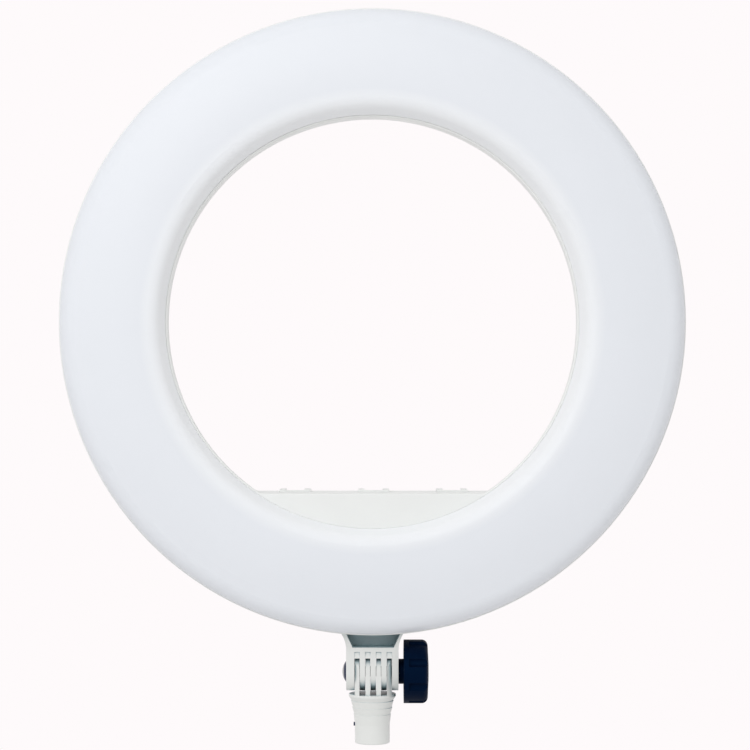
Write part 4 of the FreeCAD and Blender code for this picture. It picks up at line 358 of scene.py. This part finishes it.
moulded("rocker_black", (0.016, 0.016, 0.018), 0.28, 0.00003, worn=(0.05, 0.05, 0.055),
        Specular_IOR_Level=0.4, **BLACK_GRAIN)
moulded("knob_black", (0.0007, 0.004, 0.019), 0.55, 0.00008, 1100, 0.15, 0.0004,
        worn=(0.012, 0.018, 0.035), Specular_IOR_Level=0.10, Specular_Tint=(0.12, 0.5, 1.0, 1))

# Prints and the display's segments, which are only in this scene
moulded("print_dark", (0.05, 0.05, 0.055), 0.5, 0.00001)
moulded("print_pale", (0.78, 0.78, 0.76), 0.5, 0.00001)
moulded("ghost_segment", (0.20, 0.25, 0.22), 0.3, 0.00001)


def dress_nodes():
    """Gives each CAD node the material of its slot in the record."""
    slots = {part["node"]: part["material_slot"] for part in frame["record"]["subparts"]}
    for name, obj in frame["nodes"].items():
        look = LOOKS[slots[name]]
        if not obj.material_slots:
            obj.data.materials.append(look)
        for place in obj.material_slots:
            place.material = look


dress_nodes()


# Small pieces that the solids leave out: printed scales, switch marks, display segments

def as_piece(name, mesh, look, body):
    """Makes an object of a finished mesh and lets it ride on a body."""
    data = bpy.data.meshes.new(name)
    mesh.to_mesh(data)
    mesh.free()
    piece = bpy.data.objects.new(name, data)
    bpy.context.scene.collection.objects.link(piece)
    data.materials.append(LOOKS[look])
    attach(piece, body)


def join_rows(mesh, row, after):
    """Faces between two closed rows of corners."""
    for corner in range(len(row)):
        other = (corner + 1) % len(row)
        mesh.faces.new((row[corner], row[other], after[other], after[corner]))


def plates(name, outlines, place, thickness, look, body):
    """Thin raised shapes, drawn in a plane and set on a surface."""
    mesh = bmesh.new()
    for outline in outlines:
        under, upper = ([mesh.verts.new((u, v, level)) for u, v in outline]
                        for level in (0, thickness))
        mesh.faces.new(under)
        mesh.faces.new(upper)
        join_rows(mesh, under, upper)
    bmesh.ops.recalc_face_normals(mesh, faces=mesh.faces)
    mesh.transform(place)
    as_piece(name, mesh, look, body)


def on_back(x, y, z):
    """A drawing plane on the back: to the reader's right is -X, up is +Z and out is +Y."""
    turn = Matrix(((-1, 0, 0), (0, 0, 1), (0, 1, 0))).to_4x4()
    return Matrix.Translation((x, y, z)) @ turn


def middle_of(node):
    """The middle of a node's box across the back, and the box's corners."""
    low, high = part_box(node)
    return (low[0] + high[0]) / 2, (low[2] + high[2]) / 2, low, high


def bar(u_low, v_low, u_high, v_high):
    return [(u_low, v_low), (u_high, v_low), (u_high, v_high), (u_low, v_high)]


def turned_bar(inner, outer, half, angle):
    """A radial bar, its angle measured clockwise from straight up."""
    way = Vector((math.sin(angle), math.cos(angle)))
    side = Vector((way.y, -way.x)) * half
    return [tuple(point) for point in (way * inner - side, way * inner + side,
                                       way * outer + side, way * outer - side)]


def ring_bars(outer, inner, count):
    """A ring made of short wedges."""
    outlines = []
    for index in range(count):
        corners = []
        for step, radii in ((0, (inner, outer)), (1, (outer, inner))):
            angle = 2 * math.pi * (index + step) / count
            corners += [(radius * math.cos(angle), radius * math.sin(angle)) for radius in radii]
        outlines.append(corners)
    return outlines


# Which of a digit's seven bars each number has, and the slit between bars, in strokes
SEGMENTS = {
    "0": "abcdef", "1": "bc", "2": "abged", "3": "abgcd", "4": "fgbc",
    "5": "afgcd", "6": "afgedc", "7": "abc", "8": "abcdefg", "9": "abcdfg",
}
SEGMENT_SLIT = 0.12


def digit(sign, left, low, width, height, stroke):
    """A plain seven-part digit as bars."""
    right = left + width
    middle = low + height / 2
    top = low + height
    half = stroke / 2
    parts = {
        "a": (left, top - stroke, right, top),
        "b": (right - stroke, middle + half, right, top - stroke),
        "c": (right - stroke, low + stroke, right, middle - half),
        "d": (left, low, right, low + stroke),
        "e": (left, low + stroke, left + stroke, middle - half),
        "f": (left, middle + half, left + stroke, top - stroke),
        "g": (left, middle - half, right, middle + half),
    }
    slit = stroke * SEGMENT_SLIT
    bars = []
    for key in SEGMENTS[sign]:
        u_low, v_low, u_high, v_high = parts[key]
        bars.append(bar(u_low + slit, v_low + slit, u_high - slit, v_high - slit))
    return bars


def number_bars(signs, centre, low, width, height, stroke, step):
    """A row of digits about a centre, standing on the level low."""
    left = centre - (step * (len(signs) - 1) + width) / 2
    bars = []
    for index, sign in enumerate(signs):
        bars += digit(sign, left + step * index, low, width, height, stroke)
    return bars


# Thickness of a print
PRINT = 0.08 * MM

# A dial's turn to each side, and the marks round it: every fifth is longer and wider
DIAL_SWEEP = math.radians(150)
DIAL_MARKS = 11
LONG_EVERY = 5
MARK_START = 1.4 * MM
LONG_MARK = (2.4 * MM, 0.32 * MM)
SHORT_MARK = (1.5 * MM, 0.22 * MM)

# The numbers at a scale's ends: share of the dial's radius to the side, and level below the dial
NUMBER_SIDE = 0.86
NUMBER_DROP = 5.8 * MM
SCALE_DIGITS = {"width": 1.5 * MM, "height": 2.7 * MM, "stroke": 0.38 * MM, "step": 2.1 * MM}


def make_dial_scale(label, low_sign, high_sign):
    """Marks round a dial from one end of its turn to the other, with a number at each end."""
    x, z, low, high = middle_of(f"{label}_dial")
    radius = (high[0] - low[0]) / 2
    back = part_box("rear_housing")[1][1]
    inner = radius + MARK_START
    outlines = []
    for index in range(DIAL_MARKS):
        angle = DIAL_SWEEP * (2 * index / (DIAL_MARKS - 1) - 1)
        length, half = SHORT_MARK if index % LONG_EVERY else LONG_MARK
        outlines.append(turned_bar(inner, inner + length, half, angle))
    for sign, side in ((low_sign, -1), (high_sign, 1)):
        outlines += number_bars(sign, side * radius * NUMBER_SIDE, -radius - NUMBER_DROP,
                                **SCALE_DIGITS)
    plates(f"{label}_scale", outlines, on_back(x, back, z), PRINT, "print_dark", "head")


# The groove of a dial's pointer: its depth, the paint's thickness in it, and the paint's outline
GROOVE_DEPTH = 0.5 * MM
GROOVE_PAINT = 0.3 * MM
POINTER = bar(-0.5 * MM, 4.4 * MM, 0.5 * MM, 10.0 * MM)


def make_pointer(label):
    """White paint in the groove of a dial's pointer."""
    x, z, _, high = middle_of(f"{label}_dial")
    plates(f"{label}_pointer", [POINTER], on_back(x, high[1] - GROOVE_DEPTH, z), GROOVE_PAINT,
           "print_pale", label)


# The display: the middle and levels of its two rows of digits, and the staircase beside them
ROW_CENTRE = -2 * MM
UPPER_ROW = 0.2 * MM
LOWER_ROW = -6.6 * MM
UPPER_DIGITS = {"width": 4.2 * MM, "height": 7.2 * MM, "stroke": 0.8 * MM, "step": 5.6 * MM}
LOWER_DIGITS = {"width": 2.6 * MM, "height": 4.8 * MM, "stroke": 0.55 * MM, "step": 3.5 * MM}
STAIRS = 6
STAIR_LEFT = 11.5 * MM
STAIR_LOW = -6.4 * MM
STAIR_LENGTH = 1.5 * MM
STAIR_GROWTH = 0.45 * MM
STAIR_HEIGHT = 1.3 * MM
STAIR_PITCH = 2.3 * MM


def make_display():
    """Faint unlit segments on the display's glass: a large number over a small one."""
    x, z, _, high = middle_of("display_module")
    outlines = number_bars("888", ROW_CENTRE, UPPER_ROW, **UPPER_DIGITS)
    outlines += number_bars("8888", ROW_CENTRE, LOWER_ROW, **LOWER_DIGITS)
    for index in range(STAIRS):
        level = STAIR_LOW + index * STAIR_PITCH
        right = STAIR_LEFT + STAIR_LENGTH + index * STAIR_GROWTH
        outlines.append(bar(STAIR_LEFT, level, right, level + STAIR_HEIGHT))
    plates("display_segments", outlines, on_back(x, high[1], z), PRINT, "ghost_segment", "head")


# The rocker at rest: its turn, and the line of each face from the valley to its end, from the axis
ROCKER_TURN = math.radians(10)
VALLEY = Vector((0, 2.1 * MM))
FACE_END = Vector((7.3 * MM, 3.6 * MM))
MARK_SHARE = 0.52
ON_MARK = [bar(-0.25 * MM, -1.7 * MM, 0.25 * MM, 1.7 * MM)]
OFF_MARK = ring_bars(1.7 * MM, 1.25 * MM, 32)


def make_rocker_marks():
    """The on and off marks, on the two faces of the rocker."""
    joints = {joint["name"]: joint for joint in frame["record"]["behaviour"]["joints"]}
    axis = Matrix.Translation(joints["power_rock"]["pos_m"])
    turn = Matrix.Rotation(ROCKER_TURN, 4, "Z")
    spot = VALLEY.lerp(FACE_END, MARK_SHARE)
    slope = math.atan2(FACE_END.y - VALLEY.y, FACE_END.x - VALLEY.x)
    for label, side, outlines in (("on", 1, ON_MARK), ("off", -1, OFF_MARK)):
        shift = Matrix.Translation((side * spot.x, spot.y, 0))
        local = shift @ Matrix.Rotation(side * slope, 4, "Z")
        plates(f"rocker_{label}_mark", outlines, axis @ turn @ local @ on_back(0, 0, 0), PRINT,
               "print_pale", "rocker")


# The strip that closes the seam round the diffuser's inner side: radii, rims' level, depths
SEAM_RADII = (158.31 * MM, 158.49 * MM)
RIM_LEVEL = -22 * MM
SEAM_DEPTHS = (0.02 * MM, 1.0 * MM)
SEAM_TURNS = 360


def make_seam():
    """A strip turned round the ring's axis that closes the seam between rim and diffuser."""
    inner, outer = SEAM_RADII
    front, rear = (RIM_LEVEL + depth for depth in SEAM_DEPTHS)
    profile = ((inner, front), (outer, front), (outer, rear), (inner, rear))
    mesh = bmesh.new()
    rows = []
    for index in range(SEAM_TURNS):
        angle = 2 * math.pi * index / SEAM_TURNS
        way = Vector((math.cos(angle), 0, math.sin(angle)))
        points = [way * radius + Vector((0, depth, RING)) for radius, depth in profile]
        rows.append([mesh.verts.new(point) for point in points])
    for row, after in zip(rows, rows[1:] + rows[:1]):
        join_rows(mesh, row, after)
    bmesh.ops.recalc_face_normals(mesh, faces=mesh.faces)
    for face in mesh.faces:
        face.smooth = True
    as_piece("seam_line", mesh, "housing_white", "head")


make_dial_scale("brightness", "0", "10")
make_dial_scale("colour", "32", "56")
make_seam()
make_pointer("brightness")
make_pointer("colour")
make_display()
make_rocker_marks()


# Floor, backdrop, light and camera

BACKGROUND = (0.991, 0.956, 0.964, 1)


def seen_or_lit(made, lit, seen, share=None):
    """Shows one shader to the camera and to mirror-like rays, and the lit one to the rest."""
    path = made.add("ShaderNodeLightPath")
    factor = path.outputs["Is Camera Ray"]
    for name in ("Is Glossy Ray", "Is Transmission Ray"):
        factor = made.maths("MAXIMUM", factor, path.outputs[name])
    if share is not None:
        factor = made.maths("MULTIPLY", factor, share)
    mix = made.add("ShaderNodeMixShader")
    made.link(factor, mix.inputs["Fac"])
    made.link(lit.outputs[0], mix.inputs[1])
    made.link(seen.outputs[0], mix.inputs[2])
    return mix.outputs["Shader"]


# The studio's light, and its dimmer side: behind the object and to its right
STUDIO_LIGHT = 0.82
DIM_LIGHT = 0.46
DIM_WAY = (0.66, 0.75, 0.0)
DIM_FADE = (-0.1, 0.9)


def make_world():
    world = bpy.data.worlds.new("studio")
    bpy.context.scene.world = world
    world.use_nodes = True
    made = Nodes(world.node_tree)
    output = made.add("ShaderNodeOutputWorld")
    lit = made.add("ShaderNodeBackground")
    lit.inputs["Color"].default_value = (1, 1, 1, 1)
    way = made.add("ShaderNodeTexCoord").outputs["Generated"]
    toward = made.vector_maths("DOT_PRODUCT", way, DIM_WAY, "Value")
    made.link(made.span(toward, STUDIO_LIGHT, DIM_LIGHT, *DIM_FADE), lit.inputs["Strength"])
    seen = made.add("ShaderNodeBackground")
    seen.inputs["Color"].default_value = BACKGROUND
    seen.inputs["Strength"].default_value = 1
    made.link(seen_or_lit(made, lit, seen), output.inputs["Surface"])


# Near the object the floor shows its own light and the object's shadow; far off it is backdrop
FLOOR_HEIGHT = -1.1
FLOOR_REACH = 30
FLOOR_NEAR = 1.2
FLOOR_FAR = 3.5


def make_floor():
    mesh = bpy.data.meshes.new("floor")
    corners = [(u, v, FLOOR_HEIGHT) for u, v in bar(-FLOOR_REACH, -FLOOR_REACH,
                                                   FLOOR_REACH, FLOOR_REACH)]
    mesh.from_pydata(corners, [], [(0, 1, 2, 3)])
    floor = bpy.data.objects.new("floor", mesh)
    bpy.context.scene.collection.objects.link(floor)
    made = Material("floor_pale")
    dust = made.noise(2, 3)
    made.finish(Base_Color=made.ramp(dust, (0.92, 0.91, 0.91), (0.94, 0.93, 0.93)), Roughness=0.9)
    away = made.vector_maths("LENGTH", made.place, output="Value")
    share = made.span(away, 0.0, 1.0, math.hypot(FLOOR_NEAR, FLOOR_HEIGHT),
                      math.hypot(FLOOR_FAR, FLOOR_HEIGHT), interpolation_type="SMOOTHSTEP")
    seen = made.add("ShaderNodeEmission")
    seen.inputs["Color"].default_value = BACKGROUND
    made.link(seen_or_lit(made, made.shader, seen, share), made.output.inputs["Surface"])
    mesh.materials.append(made.material)


# The key light: upper left in front, aimed at the ring's centre
KEY_PLACE = Vector((-0.46, -1.3, 0.92))
KEY_SIZE = 0.9
KEY_POWER = 5.3


def make_key():
    data = bpy.data.lights.new("key", "AREA")
    data.shape = "DISK"
    data.size = KEY_SIZE
    data.energy = KEY_POWER
    light = bpy.data.objects.new("key", data)
    light.location = KEY_PLACE
    light.rotation_mode = "QUATERNION"
    light.rotation_quaternion = (Vector((0, 0, RING)) - KEY_PLACE).to_track_quat("-Z", "Y")
    light.visible_camera = False
    bpy.context.scene.collection.objects.link(light)


# The camera's place: right of the ring's centre, in front of it and below it
CAMERA_SIDE = 0.00207
CAMERA_AWAY = 1.822
CAMERA_LOWER = 0.0407
CAMERA_LENS = 112.9
SENSOR_WIDTH = 36


def make_camera():
    data = bpy.data.cameras.new("camera")
    data.sensor_width = SENSOR_WIDTH
    data.lens = CAMERA_LENS
    data.clip_start = 0.05
    data.clip_end = 200
    camera = bpy.data.objects.new("camera", data)
    camera.location = (CAMERA_SIDE, -CAMERA_AWAY, RING - CAMERA_LOWER)
    camera.rotation_euler = (math.pi / 2, 0, 0)
    bpy.context.scene.collection.objects.link(camera)
    bpy.context.scene.camera = camera


make_world()
make_floor()
make_key()
make_camera()
bpy.context.scene.view_settings.view_transform = "Standard"
